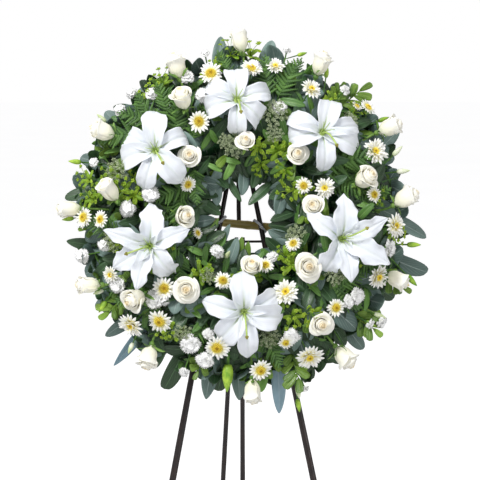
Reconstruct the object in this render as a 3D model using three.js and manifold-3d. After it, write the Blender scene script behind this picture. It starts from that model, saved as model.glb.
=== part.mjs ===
// A funeral wreath of lilies, roses, chrysanthemums, carnations and mixed greenery.
// It is built on a ring of floral foam and tied to an easel of tapered poles.
// Millimetres, +Z up. The wreath faces -Y, and the easel stands on Z = 0.
import * as THREE from "three";
import { mergeVertices } from "three/addons/utils/BufferGeometryUtils.js";
import Module from "manifold-3d";

const wasm = await Module();
wasm.setup();

// ---- Driving dimensions -------------------------------------------------------

const GAP = 0.3;
const ROOM = 0.8;
const LEAN = THREE.MathUtils.degToRad(8);
const CENTRE_HEIGHT = 820;

// Easel. Planes are depths behind the middle of the foam, along the wreath's own axis.
const LEG_PLANE = -62;
const APEX_RISE = 165;
const APEX_HALF_SPREAD = 7;
const FRONT_FOOT_HALF_SPREAD = 200;
const REAR_FOOT_HALF_SPREAD = 28;
const REAR_TOP_HALF_SPREAD = 6.5;
const REAR_FOOT_SETBACK = 380;
const FRONT_LEG_RADII = [7.5, 4];
const REAR_LEG_RADII = [5, 4];
const POST_RADIUS = 4;
const POST_ENDS = { top: [150, -64], bottom: [-25, -94] };
const CROSSBAR = { rise: -9, plane: -77, length: 330, radius: 8.5, slope: -6 };
const RAIL = { rise: -45, plane: -69.9, length: 116, radius: 2.5 };
const REAR_TOP = { rise: -36, plane: -76.8 };
const BINDING = { low: 132, high: 160, halfWidth: 21, halfDepth: 8 };
const TIE = { halfWidth: 18, halfDepth: 18, wire: 1.2, plane: -72.5 };
const HANGING_LOOP = { rise: 166, plane: -57, halfWidth: 25, halfHeight: 35, tilt: 15, wire: 1.5 };

// Foam ring and its plastic tray: reach is measured from the wreath's centre.
const RING_REACH = 190;
const FOAM = { halfWidth: 50, back: -41.5, shoulder: 8, front: 28, chamfer: 18 };
const TRAY = { wall: 3, clearance: 0.5, depth: 15 };
const RING_SEGMENTS = 24;

// Greenery: a band of packed sprigs over the foam, with long leaves around its rim.
const BAND = { inner: 95, outer: 296, back: -30, front: 52 };
const SECTORS = 6;
const SECTOR_CLEARANCE = 0.5;
const LEAF_ROOT_REACH = 270;
const LEAF_THICKNESS = 3;

// The flowers stand on a dome over the foam.
const DOME = { height: 100, innerSpan: 135, outerSpan: 185, lowest: 0.35 };
const STEM_DEPTH = 12;
const STEM_SIDES = 4;

// ---- Arrangement ---------------------------------------------------------------
// Bearings run clockwise from the top, in degrees. Reaches and sizes are in millimetres.

// Lilies: bearing, reach, spin, petal length.
const LILIES = [
  [356, 225, 0, 82],
  [43, 220, 10, 84],
  [104, 190, 6, 92],
  [182, 185, -2, 92],
  [253, 195, 8, 88],
  [306, 215, 2, 80],
];

// Roses: bearing, reach, tilt from the wreath's axis, bearing of that tilt, width.
const ROSES = [
  [359, 350, 80, 346, 38],
  [27, 340, 75, 20, 44],
  [59, 340, 75, 68, 44],
  [84, 320, 75, 60, 46],
  [113, 325, 75, 117, 40],
  [145, 340, 75, 140, 46],
  [178, 345, 80, 180, 36],
  [215, 335, 75, 196, 46],
  [247, 335, 75, 270, 38],
  [273, 345, 80, 270, 36],
  [281, 270, 65, 322, 42],
  [301, 325, 75, 290, 42],
  [336, 325, 75, 343, 46],
  [332, 260, 50, 339, 46],
  [317, 160, 10, 317, 46],
  [0, 145, 15, 0, 38],
  [40, 155, 10, 40, 46],
  [73, 245, 45, 55, 48],
  [83, 135, 25, 300, 46],
  [130, 155, 5, 130, 58],
  [146, 255, 15, 146, 52],
  [174, 100, 30, 0, 42],
  [220, 185, 5, 220, 58],
  [234, 270, 50, 243, 48],
  [270, 120, 25, 76, 44],
];

// Chrysanthemum sprays: each head is bearing, reach, width.
const CHRYSANTHEMUMS = [
  [[347, 285, 50], [3, 288, 46], [12, 300, 38], [28, 280, 46]],
  [[64, 285, 54], [81, 255, 34], [71, 165, 44], [49, 325, 36]],
  [[94, 295, 50], [115, 285, 52], [120, 110, 36], [136, 250, 40]],
  [[158, 105, 36], [153, 168, 54], [156, 300, 58], [175, 300, 46]],
  [[200, 135, 40], [193, 260, 52], [220, 262, 52], [227, 305, 54]],
  [[247, 285, 36], [269, 280, 36], [270, 312, 44], [299, 130, 36]],
];

// Carnation sprays: each head is bearing, reach, width.
const CARNATIONS = [
  [[338, 295, 28], [341, 250, 34], [311, 320, 28], [323, 300, 30]],
  [[283, 190, 36], [274, 228, 36], [259, 280, 26], [257, 325, 32]],
  [[228, 240, 38], [204, 270, 40], [196, 290, 38], [219, 90, 34]],
  [[103, 290, 34], [126, 268, 34], [128, 340, 28], [160, 250, 38]],
];

// Rim leaves: bearing, reach and depth of the tip, bearing of the root, width.
const RIM_LEAVES = [
  [353, 370, 10, 350, 30],
  [10, 362, 20, 8, 34],
  [40, 350, 0, 36, 26],
  [62, 365, 20, 66, 28],
  [95, 375, 0, 88, 34],
  [109, 390, 0, 103, 36],
  [126, 350, 10, 124, 30],
  [138, 360, 10, 136, 30],
  [157, 352, 20, 158, 34],
  [169, 400, -10, 165, 38],
  [181, 365, 10, 184, 34],
  [193, 367, 0, 192, 36],
  [204, 372, 0, 203, 34],
  [221, 395, -10, 223, 22],
  [230, 362, 10, 228, 30],
  [263, 355, 10, 257, 30],
  [277, 358, 10, 284, 30],
  [308, 348, 10, 305, 32],
  [325, 345, 0, 322, 28],
];

// ---- Solids --------------------------------------------------------------------

function indexed(geometry) {
  const bare = geometry.clone();
  bare.deleteAttribute("normal");
  bare.deleteAttribute("uv");
  return mergeVertices(bare, 1e-3);
}

function manifoldOf(vertProperties, triVerts) {
  return new wasm.Manifold(new wasm.Mesh({ numProp: 3, vertProperties, triVerts }));
}

// The closed solid of a geometry, turned to face outwards.
function solid(geometry) {
  const merged = indexed(geometry);
  const points = merged.attributes.position.array;
  const corners = new Uint32Array(merged.index.array);
  const made = manifoldOf(points, corners);
  if (made.volume() > 0) return made;
  for (let i = 0; i < corners.length; i += 3) {
    [corners[i + 1], corners[i + 2]] = [corners[i + 2], corners[i + 1]];
  }
  return manifoldOf(points, corners);
}

function join(solids) {
  return solids.reduce((whole, piece) => whole.add(piece));
}

function touches(a, b) {
  const p = a.boundingBox();
  const q = b.boundingBox();
  return [0, 1, 2].every((k) => p.min[k] <= q.max[k] && q.min[k] <= p.max[k]);
}

// What is left of a piece once its neighbours have taken their room: its largest part.
function carve(piece, neighbours) {
  let rest = piece;
  for (const neighbour of neighbours) {
    if (touches(rest, neighbour)) rest = rest.subtract(neighbour);
  }
  const parts = rest.decompose();
  return parts.reduce((best, part) => (part.volume() > best.volume() ? part : best));
}

function geometryOf(made) {
  const mesh = made.getMesh();
  const geometry = new THREE.BufferGeometry();
  geometry.setAttribute("position", new THREE.BufferAttribute(mesh.vertProperties, 3));
  geometry.setIndex(new THREE.BufferAttribute(mesh.triVerts, 1));
  const flat = geometry.toNonIndexed();
  flat.computeVertexNormals();
  return flat;
}

// Moves every vertex of a geometry by a function of its place.
function reshape(geometry, move) {
  const points = geometry.attributes.position;
  const point = new THREE.Vector3();
  for (let i = 0; i < points.count; i += 1) {
    point.fromBufferAttribute(points, i);
    move(point);
    points.setXYZ(i, point.x, point.y, point.z);
  }
  return geometry;
}

// ---- Frames --------------------------------------------------------------------

// The wreath's own frame: X right, Y up its face, Z out of its face.
const wreathFrame = new THREE.Matrix4()
  .makeRotationX(Math.PI / 2 - LEAN)
  .setPosition(0, 0, CENTRE_HEIGHT);

function wreathPoint(right, rise, depth) {
  return new THREE.Vector3(right, rise, depth).applyMatrix4(wreathFrame);
}

function outward(bearing) {
  const angle = THREE.MathUtils.degToRad(bearing);
  return new THREE.Vector3(Math.sin(angle), Math.cos(angle), 0);
}

// A point of the wreath, in its own frame.
function spot(bearing, reach, depth) {
  const point = outward(bearing).multiplyScalar(reach);
  point.z = depth;
  return point;
}

function domeSlope(reach) {
  const span = reach > RING_REACH ? DOME.outerSpan : DOME.innerSpan;
  return THREE.MathUtils.clamp((reach - RING_REACH) / span, -0.95, 0.95);
}

function domeDepth(reach, height) {
  return height * Math.max(Math.sqrt(1 - domeSlope(reach) ** 2), DOME.lowest);
}

// The direction that a flower faces: tilted from the wreath's axis towards a bearing.
function facing(tilt, bearing) {
  const angle = THREE.MathUtils.degToRad(tilt);
  const aim = outward(bearing).multiplyScalar(Math.sin(angle));
  aim.z = Math.cos(angle);
  return aim;
}

// Turns a shape that faces +Z to a direction, and moves it to a point.
function settle(geometry, point, direction, spin = 0) {
  const turn = new THREE.Quaternion().setFromUnitVectors(new THREE.Vector3(0, 0, 1), direction);
  return geometry
    .rotateZ(THREE.MathUtils.degToRad(spin))
    .applyQuaternion(turn)
    .translate(point.x, point.y, point.z);
}

// ---- Easel ---------------------------------------------------------------------

// A tapered pole between two points, with level ends.
function pole(foot, top, radii, sides = 12) {
  const run = top.clone().sub(foot);
  const geometry = new THREE.CylinderGeometry(radii[1], radii[0], run.z, sides);
  geometry.rotateX(Math.PI / 2).translate(0, 0, run.z / 2);
  return reshape(geometry, (p) => {
    const share = p.z / run.z;
    p.x += foot.x + run.x * share;
    p.y += foot.y + run.y * share;
    p.z += foot.z;
  });
}

function grown(radii) {
  return radii.map((radius) => radius + GAP);
}

// The front legs keep the lean of the wreath, so their line meets the floor here.
function frontFootSetback() {
  const low = wreathPoint(0, 0, LEG_PLANE);
  return low.y - low.z * Math.tan(LEAN);
}

function frontLeg(side, radii) {
  const foot = new THREE.Vector3(side * FRONT_FOOT_HALF_SPREAD, frontFootSetback(), 0);
  const top = wreathPoint(side * APEX_HALF_SPREAD, APEX_RISE, LEG_PLANE);
  return pole(foot, top, radii);
}

function rearLeg(side) {
  const setback = frontFootSetback() + REAR_FOOT_SETBACK;
  const foot = new THREE.Vector3(side * REAR_FOOT_HALF_SPREAD, setback, 0);
  const top = wreathPoint(side * REAR_TOP_HALF_SPREAD, REAR_TOP.rise, REAR_TOP.plane);
  return pole(foot, top, REAR_LEG_RADII);
}

function centrePost(radius) {
  const foot = wreathPoint(0, ...POST_ENDS.bottom);
  const top = wreathPoint(0, ...POST_ENDS.top);
  return pole(foot, top, [radius, radius], 10);
}

// A cane bar, swollen a little at its joints.
function crossbar() {
  const half = CROSSBAR.length / 2;
  const joint = 0.8;
  const profile = [new THREE.Vector2(0, -half), new THREE.Vector2(CROSSBAR.radius, -half)];
  for (const at of [-0.35, 0.05, 0.42]) {
    const middle = at * CROSSBAR.length;
    profile.push(new THREE.Vector2(CROSSBAR.radius, middle - 6));
    profile.push(new THREE.Vector2(CROSSBAR.radius + joint, middle));
    profile.push(new THREE.Vector2(CROSSBAR.radius, middle + 6));
  }
  profile.push(new THREE.Vector2(CROSSBAR.radius, half), new THREE.Vector2(0, half));
  return new THREE.LatheGeometry(profile, 10)
    .rotateZ(THREE.MathUtils.degToRad(CROSSBAR.slope) - Math.PI / 2)
    .translate(0, CROSSBAR.rise, CROSSBAR.plane)
    .applyMatrix4(wreathFrame);
}

function lowerRail() {
  return new THREE.CylinderGeometry(RAIL.radius, RAIL.radius, RAIL.length, 8)
    .rotateZ(Math.PI / 2)
    .translate(0, RAIL.rise, RAIL.plane)
    .applyMatrix4(wreathFrame);
}

// A closed loop of wire, drawn out to an oval.
function wireLoop(halfWidth, halfHeight, wire) {
  const loop = new THREE.TorusGeometry(halfWidth, wire, 5, 16);
  const stretch = halfHeight / halfWidth - 1;
  return reshape(loop, (p) => {
    const middle = (p.y / Math.hypot(p.x, p.y)) * halfWidth;
    p.y += middle * stretch;
  });
}

// A wire tie runs slantwise round a leg and the crossbar behind it.
function tie(side) {
  const slope = Math.tan(THREE.MathUtils.degToRad(CROSSBAR.slope));
  const drop = APEX_RISE - CROSSBAR.rise;
  const apex = wreathPoint(0, APEX_RISE, LEG_PLANE).z;
  const spread = (FRONT_FOOT_HALF_SPREAD - APEX_HALF_SPREAD) / apex;
  const right = side * (APEX_HALF_SPREAD + drop * Math.cos(LEAN) * spread);
  return wireLoop(TIE.halfWidth, TIE.halfDepth, TIE.wire)
    .rotateX(Math.PI / 2)
    .rotateZ(-side * Math.PI / 4)
    .translate(right, CROSSBAR.rise + right * slope, TIE.plane)
    .applyMatrix4(wreathFrame);
}

// The wound joint that holds the tops of the legs and the post together.
function apexBinding() {
  const height = BINDING.high - BINDING.low;
  const block = new THREE.CylinderGeometry(BINDING.halfWidth, BINDING.halfWidth, height, 14)
    .scale(1, 1, BINDING.halfDepth / BINDING.halfWidth)
    .translate(0, (BINDING.high + BINDING.low) / 2, LEG_PLANE)
    .applyMatrix4(wreathFrame);
  const held = [
    solid(frontLeg(-1, grown(FRONT_LEG_RADII))),
    solid(frontLeg(1, grown(FRONT_LEG_RADII))),
    solid(centrePost(POST_RADIUS + GAP)),
  ];
  return geometryOf(carve(solid(block), held));
}

// The wire loop that hangs the wreath over the tops of the legs.
function hangingLoop() {
  return wireLoop(HANGING_LOOP.halfWidth, HANGING_LOOP.halfHeight, HANGING_LOOP.wire)
    .rotateX(-THREE.MathUtils.degToRad(HANGING_LOOP.tilt))
    .translate(0, HANGING_LOOP.rise, HANGING_LOOP.plane)
    .applyMatrix4(wreathFrame);
}

// ---- Foam ring, tray and greenery ----------------------------------------------

// A ring turned from a closed outline of [reach, depth] points.
function turned(outline) {
  const points = outline.map(([reach, depth]) => new THREE.Vector2(reach, depth));
  return new THREE.LatheGeometry([...points, points[0].clone()], RING_SEGMENTS).rotateX(Math.PI / 2);
}

function foamRing() {
  const outer = RING_REACH + FOAM.halfWidth;
  const inner = RING_REACH - FOAM.halfWidth;
  return turned([
    [outer, FOAM.back],
    [outer, FOAM.shoulder],
    [outer - FOAM.chamfer, FOAM.front],
    [inner + FOAM.chamfer, FOAM.front],
    [inner, FOAM.shoulder],
    [inner, FOAM.back],
  ]);
}

function backingTray() {
  const floor = FOAM.back - TRAY.clearance;
  const outer = RING_REACH + FOAM.halfWidth + TRAY.clearance;
  const inner = RING_REACH - FOAM.halfWidth - TRAY.clearance;
  const lip = floor + TRAY.depth;
  return turned([
    [outer + TRAY.wall, floor - TRAY.wall],
    [outer + TRAY.wall, lip],
    [outer, lip],
    [outer, floor],
    [inner, floor],
    [inner, lip],
    [inner - TRAY.wall, lip],
    [inner - TRAY.wall, floor - TRAY.wall],
  ]);
}

// The band of greenery: an arch over the foam, open at the back.
function greeneryBand() {
  const outer = RING_REACH + FOAM.halfWidth;
  const inner = RING_REACH - FOAM.halfWidth;
  const wall = TRAY.wall + TRAY.clearance + GAP;
  const clear = TRAY.clearance;
  return turned([
    [BAND.outer - 12, BAND.back],
    [BAND.outer, 5],
    [BAND.outer - 34, 38],
    [RING_REACH, BAND.front],
    [BAND.inner + 22, 34],
    [BAND.inner, 0],
    [BAND.inner + 8, BAND.back],
    [inner - wall, BAND.back],
    [inner - wall, FOAM.shoulder],
    [inner + FOAM.chamfer - clear, FOAM.front + clear],
    [outer - FOAM.chamfer + clear, FOAM.front + clear],
    [outer + wall, FOAM.shoulder],
    [outer + wall, BAND.back],
  ]);
}

// A wedge that keeps one sector of a ring.
function wedge(index) {
  const step = 360 / SECTORS;
  const reach = 2 * BAND.outer;
  const middle = outward(index * step + step / 2);
  const apex = middle.clone().multiplyScalar(SECTOR_CLEARANCE);
  const shape = new THREE.Shape();
  shape.moveTo(apex.x, apex.y);
  for (const bearing of [index * step, (index + 1) * step]) {
    const corner = outward(bearing).multiplyScalar(reach).add(apex);
    shape.lineTo(corner.x, corner.y);
  }
  const depth = 4 * DOME.height;
  return new THREE.ExtrudeGeometry(shape, { depth, bevelEnabled: false })
    .translate(0, 0, -depth / 2);
}

// A pointed leaf from its root to its tip, bowed towards the front.
function leaf(root, tip, width) {
  const along = tip.clone().sub(root);
  const length = along.length();
  const blade = new THREE.SphereGeometry(1, 4, 5);
  reshape(blade, (p) => {
    const share = (p.y + 1) / 2;
    const bow = 0.08 * length * Math.sin(Math.PI * share);
    p.set((p.x * width) / 2, share * length, (p.z * LEAF_THICKNESS) / 2 + bow);
  });
  const turn = new THREE.Quaternion().setFromUnitVectors(
    new THREE.Vector3(0, 1, 0),
    along.normalize(),
  );
  return blade.applyQuaternion(turn).translate(root.x, root.y, root.z);
}

function leavesOf(index) {
  const step = 360 / SECTORS;
  return RIM_LEAVES.filter(([, , , root]) => Math.floor(root / step) === index)
    .map(([bearing, reach, depth, root, width]) =>
      solid(leaf(spot(root, LEAF_ROOT_REACH, 0), spot(bearing, reach, depth), width)));
}

function greenery(index, band) {
  const sector = band.intersect(solid(wedge(index)));
  return join([sector, ...leavesOf(index)]);
}

// ---- Flowers: each faces +Z, with the top of its stem at the origin ---------------

// A stem runs straight from one point to another. Every shape can be grown by a margin.
function stem(from, to, radius, grow) {
  const run = to.clone().sub(from);
  const length = run.length() + grow;
  const geometry = new THREE.CylinderGeometry(radius + grow, radius + grow, length, STEM_SIDES)
    .rotateX(Math.PI / 2)
    .translate(0, 0, length / 2);
  return settle(geometry, from, run.normalize());
}

// Where a flower's stem ends, inside the foam below it.
function rootOf(point) {
  const side = new THREE.Vector3(point.x, point.y, 0).normalize();
  const shift = THREE.MathUtils.clamp(Math.hypot(point.x, point.y) - RING_REACH, -30, 30);
  return side.multiplyScalar(RING_REACH + shift * 0.7).setZ(FOAM.front - STEM_DEPTH);
}

function petal(length, width, rise, curl, grow) {
  const blade = new THREE.SphereGeometry(1, 4, 5);
  return reshape(blade, (p) => {
    const atTip = p.y > 0.999;
    const share = (p.y + 1) / 2 + (atTip ? grow / length : 0);
    const spread = Math.abs(Math.sin(Math.PI * share ** 0.8)) * (width / 2);
    const ring = atTip ? Infinity : Math.hypot(p.x, p.z);
    const side = (p.x / ring) * (spread + grow);
    const thick = (p.z / ring) * (Math.min(spread, 1.5) + grow);
    const height = rise * Math.sin(Math.PI * share * 0.8) - curl * share ** 4;
    p.set(side || 0, share * length, (thick || 0) + height - 2);
  });
}

function lilyBloom(length, grow) {
  const petals = [0, 1, 2, 3, 4, 5].map((index) => {
    const broad = index % 2 === 1;
    const width = length * (broad ? 0.46 : 0.36);
    const blade = petal(length, width, length * 0.34, length * 0.2, grow);
    return solid(blade.translate(0, 0, broad ? 1 : -1).rotateZ((-index * Math.PI) / 3));
  });
  const trumpet = [[0, -30], [4, -30], [5, -12], [12, 10], [0, 10]];
  const throat = new THREE.LatheGeometry(
    trumpet.map(([radius, height]) => new THREE.Vector2(radius && radius + grow, height)),
    6,
  ).rotateX(Math.PI / 2);
  const style = new THREE.CylinderGeometry(3 + grow, 2 + grow, length * 0.6 + grow, 4)
    .translate(0, length * 0.3, 0)
    .rotateX(Math.PI / 2 + 0.35);
  return [...petals, solid(throat), solid(style)];
}

function roseBloom(width, grow) {
  const length = 27 + width * 0.55;
  const bloom = new THREE.SphereGeometry(1, 8, 5);
  return reshape(bloom, (p) => {
    const share = (p.y + 1) / 2;
    const turn = Math.atan2(p.z, p.x);
    const flare = 0.82 + 0.3 * share + 0.05 * Math.cos(3 * turn + 5 * share);
    const radius = width / 2 + grow;
    p.set(p.x * radius * flare, (length + 2 * grow) * share - grow, p.z * radius * flare);
  }).rotateX(Math.PI / 2);
}

// A daisy-like head: a shallow disc with alternating long and short rays.
function chrysanthemumBloom(width, grow) {
  const rays = 6;
  const head = new THREE.SphereGeometry(1, 2 * rays, 3);
  return reshape(head, (p) => {
    const turn = Math.atan2(p.z, p.x);
    const ray = 0.9 + 0.1 * Math.cos(rays * turn);
    const radius = (width / 2 + grow) * ray;
    p.set(p.x * radius, (p.y + 1) * (width * 0.16 + grow) - grow, p.z * radius);
  }).rotateX(Math.PI / 2);
}

// A ruffled ball, flattened below.
function carnationBloom(width, grow) {
  const ruffles = 5;
  const head = new THREE.SphereGeometry(1, 2 * ruffles, 3);
  return reshape(head, (p) => {
    const turn = Math.atan2(p.z, p.x);
    const radius = (width / 2 + grow) * (0.92 + 0.08 * Math.cos(ruffles * turn + 4 * p.y));
    p.set(p.x * radius, (p.y + 1) * (width * 0.36 + grow) - grow, p.z * radius);
  }).rotateX(Math.PI / 2);
}

// ---- Placed flowers ------------------------------------------------------------

function placedLily([bearing, reach, spin, length], grow) {
  const base = spot(bearing, reach, DOME.height - 8);
  const blooms = lilyBloom(length, grow);
  const aim = facing(12, bearing);
  const turn = new THREE.Quaternion().setFromUnitVectors(new THREE.Vector3(0, 0, 1), aim);
  const place = new THREE.Matrix4().compose(base, turn, new THREE.Vector3(1, 1, 1));
  const spun = new THREE.Matrix4().makeRotationZ(THREE.MathUtils.degToRad(-spin));
  const matrix = place.multiply(spun).elements;
  const neck = base.clone().addScaledVector(aim, -26);
  const stalk = solid(stem(neck, rootOf(base), 4.5, grow));
  return join([...blooms.map((bloom) => bloom.transform(matrix)), stalk]);
}

function placedRose([bearing, reach, tilt, aimBearing, width], grow) {
  const aim = facing(tilt, aimBearing);
  const centre = spot(bearing, reach, domeDepth(reach, DOME.height));
  const base = centre.clone().addScaledVector(aim, -26);
  const bloom = solid(settle(roseBloom(width, grow), base, aim, bearing));
  const inside = base.clone().addScaledVector(aim, 6);
  return bloom.add(solid(stem(inside, rootOf(base), 3, grow)));
}

// A spray: one main stem in the foam that forks to all its heads.
function placedSpray(heads, bloomOf, height, grow) {
  const middle = new THREE.Vector3();
  const bases = heads.map(([bearing, reach]) => spot(bearing, reach, domeDepth(reach, height)));
  bases.forEach((base) => middle.addScaledVector(base, 1 / bases.length));
  const root = rootOf(middle);
  const fork = root.clone().setZ(FOAM.front + 20);
  const parts = [solid(stem(fork, root, 3.5, grow)), solid(knuckle(fork, 4.5 + grow))];
  heads.forEach(([bearing, reach, width], index) => {
    const tilt = 70 * domeSlope(reach);
    const aim = facing(tilt, bearing);
    const inside = bases[index].clone().addScaledVector(aim, 4);
    parts.push(solid(settle(bloomOf(width, grow), bases[index], aim, bearing)));
    parts.push(solid(stem(fork, inside, 2.5, grow)));
  });
  return join(parts);
}

function knuckle(point, radius) {
  return new THREE.SphereGeometry(radius, 5, 3).translate(point.x, point.y, point.z);
}

// ---- Assembly ------------------------------------------------------------------

function finish(colour, roughness, metalness = 0) {
  return new THREE.MeshStandardMaterial({ color: colour, roughness, metalness });
}

const finishes = {
  pole: () => finish(0x15130f, 0.38),
  cane: () => finish(0x5b5634, 0.5),
  wire: () => finish(0x8d9093, 0.4, 0.9),
  tray: () => finish(0x1f3a24, 0.45),
  foam: () => finish(0x2f5b35, 0.95),
  greenery: () => finish(0x3f6a2f, 0.55),
  lily: () => finish(0xf4f6f2, 0.45),
  rose: () => finish(0xf3efdf, 0.5),
  chrysanthemum: () => finish(0xf2f0d8, 0.6),
  carnation: () => finish(0xf6f5ee, 0.6),
};

function addMesh(group, name, geometry, material) {
  const mesh = new THREE.Mesh(geometry, material);
  mesh.name = name;
  group.add(mesh);
}

function numbered(name, index) {
  return name + "_" + String(index + 1).padStart(2, "0");
}

function buildEasel() {
  const easel = new THREE.Group();
  const { pole: black, wire } = finishes;
  addMesh(easel, "front_leg_left", frontLeg(-1, FRONT_LEG_RADII), black());
  addMesh(easel, "front_leg_right", frontLeg(1, FRONT_LEG_RADII), black());
  addMesh(easel, "rear_leg_left", rearLeg(-1), black());
  addMesh(easel, "rear_leg_right", rearLeg(1), black());
  addMesh(easel, "centre_post", centrePost(POST_RADIUS), black());
  addMesh(easel, "lower_rail", lowerRail(), black());
  addMesh(easel, "crossbar", crossbar(), finishes.cane());
  addMesh(easel, "apex_binding", apexBinding(), wire());
  addMesh(easel, "wire_tie_left", tie(-1), wire());
  addMesh(easel, "wire_tie_right", tie(1), wire());
  addMesh(easel, "hanging_loop", hangingLoop(), wire());
  return easel;
}

// The pieces of the wreath, in the order in which they take their room.
function wreathPieces() {
  const made = [];
  const rooms = [];
  const add = (name, kind, build) => {
    made.push([name, kind, carve(build(0), rooms)]);
    rooms.push(build(ROOM));
  };
  LILIES.forEach((lily, i) => add(numbered("lily", i), "lily", (g) => placedLily(lily, g)));
  ROSES.forEach((rose, i) => add(numbered("rose", i), "rose", (g) => placedRose(rose, g)));
  CHRYSANTHEMUMS.forEach((heads, i) => add(
    numbered("chrysanthemum_spray", i),
    "chrysanthemum",
    (g) => placedSpray(heads, chrysanthemumBloom, DOME.height * 0.82, g),
  ));
  CARNATIONS.forEach((heads, i) => add(
    numbered("carnation_spray", i),
    "carnation",
    (g) => placedSpray(heads, carnationBloom, DOME.height * 0.7, g),
  ));
  const tray = solid(backingTray());
  made.push(["backing_tray", "tray", tray]);
  made.push(["foam_ring", "foam", carve(solid(foamRing()), rooms)]);
  const band = solid(greeneryBand());
  for (let i = 0; i < SECTORS; i += 1) {
    made.push([numbered("greenery", i), "greenery", carve(greenery(i, band), rooms)]);
  }
  return made;
}

function buildWreath() {
  const wreath = new THREE.Group();
  wreath.applyMatrix4(wreathFrame);
  for (const [name, kind, made] of wreathPieces()) {
    addMesh(wreath, name, geometryOf(made), finishes[kind]());
  }
  return wreath;
}

// The part's origin is the middle of its footprint, on the floor.
function build() {
  const part = new THREE.Group();
  part.add(buildEasel(), buildWreath());
  part.updateMatrixWorld(true);
  const middle = new THREE.Box3().setFromObject(part, true).getCenter(new THREE.Vector3());
  part.position.set(-middle.x, -middle.y, 0);
  return part;
}

export default build();
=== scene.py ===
import math
import random

import bmesh
import bpy
from mathutils import Matrix, Quaternion, Vector


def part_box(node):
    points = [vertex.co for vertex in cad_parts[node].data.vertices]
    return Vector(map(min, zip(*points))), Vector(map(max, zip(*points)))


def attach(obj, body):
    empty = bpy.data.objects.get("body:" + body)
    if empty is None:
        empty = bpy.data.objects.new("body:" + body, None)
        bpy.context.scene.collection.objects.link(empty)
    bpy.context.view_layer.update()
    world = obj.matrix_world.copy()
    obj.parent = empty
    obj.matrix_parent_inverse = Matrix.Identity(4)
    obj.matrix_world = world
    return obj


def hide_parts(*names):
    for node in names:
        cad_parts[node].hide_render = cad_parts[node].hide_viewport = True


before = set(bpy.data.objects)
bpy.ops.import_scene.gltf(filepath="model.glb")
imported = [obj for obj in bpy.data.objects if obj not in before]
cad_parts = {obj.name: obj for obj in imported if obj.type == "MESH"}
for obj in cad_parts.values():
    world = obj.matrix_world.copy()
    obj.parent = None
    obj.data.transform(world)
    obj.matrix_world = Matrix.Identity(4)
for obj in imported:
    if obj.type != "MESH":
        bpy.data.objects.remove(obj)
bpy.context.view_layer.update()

# The finished look of a funeral wreath on its easel: lilies, roses, chrysanthemums,
# carnations and mixed greenery on a foam ring. Metres, +Z up, the wreath faces -Y.

MM = 0.001
TURN = 2 * math.pi
GOLDEN = math.radians(137.5)
OUT = Vector((0, 0, 1))

# ---- The wreath's own frame: X right, Y up its face, Z out of its face --------------

LEAN = math.radians(8)
FOAM_MIDDLE_DEPTH = -6.75 * MM
RING_REACH = 190
STEM_FOOT_DEPTH = 16
STEM_FOOT_SHIFT = 30
DOME_HEIGHT = 100
DOME_INNER_SPAN = 135
DOME_OUTER_SPAN = 185
DOME_STEEPEST = 0.95
DOME_LOWEST = 0.35
SECTORS = 6
SECTOR_ANGLE = 360 // SECTORS


def raised(height):
    return Vector((0, 0, height))


def level(angle):
    return Vector((math.cos(angle), math.sin(angle), 0))


def wreath_frame():
    """The matrix from the wreath's frame to the object's, from where the foam ring is."""
    low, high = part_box("foam_ring")
    right = Vector((1, 0, 0))
    rise = Vector((0, math.sin(LEAN), math.cos(LEAN)))
    out = right.cross(rise)
    middle = (low + high) / 2 - out * FOAM_MIDDLE_DEPTH
    turn = Matrix((right, rise, out)).transposed().to_4x4()
    return Matrix.Translation(middle) @ turn


WREATH = wreath_frame()


def outward(bearing):
    """The direction of a bearing, clockwise from the top, in the wreath's face."""
    angle = math.radians(bearing)
    return Vector((math.sin(angle), math.cos(angle), 0))


def spot(bearing, reach, depth):
    """A point of the wreath, from millimetres."""
    return (outward(bearing) * reach + raised(depth)) * MM


def dome_slope(reach):
    """How steeply the dome of flowers falls away at a reach: under 0 towards the hole."""
    span = DOME_OUTER_SPAN if reach > RING_REACH else DOME_INNER_SPAN
    return max(-DOME_STEEPEST, min(DOME_STEEPEST, (reach - RING_REACH) / span))


def dome_depth(reach, height=DOME_HEIGHT):
    return height * max(math.sqrt(1 - dome_slope(reach) ** 2), DOME_LOWEST)


def smooth(low, high, value):
    """A smooth step from 0 at the low value to 1 at the high one."""
    share = min(1.0, max(0.0, (value - low) / (high - low)))
    return share * share * (3 - 2 * share)


def facing(tilt, bearing):
    """A direction tilted from the wreath's axis towards a bearing."""
    angle = math.radians(tilt)
    return outward(bearing) * math.sin(angle) + raised(math.cos(angle))


def pose(point, direction, spin=0.0, size=1.0):
    """The matrix that turns a shape that faces +Z to a direction, and moves it to a point."""
    turn = OUT.rotation_difference(direction)
    roll = Matrix.Rotation(math.radians(spin), 4, "Z")
    return Matrix.Translation(point) @ turn.to_matrix().to_4x4() @ roll @ Matrix.Scale(size, 4)


def lying(along):
    """The matrix that turns a leaf that lies along +Y and faces +Z to point along a direction."""
    side = along.cross(OUT).normalized()
    return Matrix((side, along, side.cross(along))).transposed().to_4x4()


def root_of(point):
    """Where a flower's stem enters the foam below it."""
    side = Vector((point.x, point.y, 0))
    shift = max(-STEM_FOOT_SHIFT, min(STEM_FOOT_SHIFT, side.length / MM - RING_REACH))
    return side.normalized() * (RING_REACH + shift * 0.7) * MM + raised(STEM_FOOT_DEPTH * MM)


def in_sector(bearing, sector):
    """Whether a bearing lies in a sixth of the wreath. They are counted from 1 at the top."""
    return bearing % 360 // SECTOR_ANGLE == sector - 1


# ---- The arrangement ------------------------------------------------------------------
# Bearings are clockwise from the top in degrees; reaches, widths and lengths are in
# millimetres.

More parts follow.
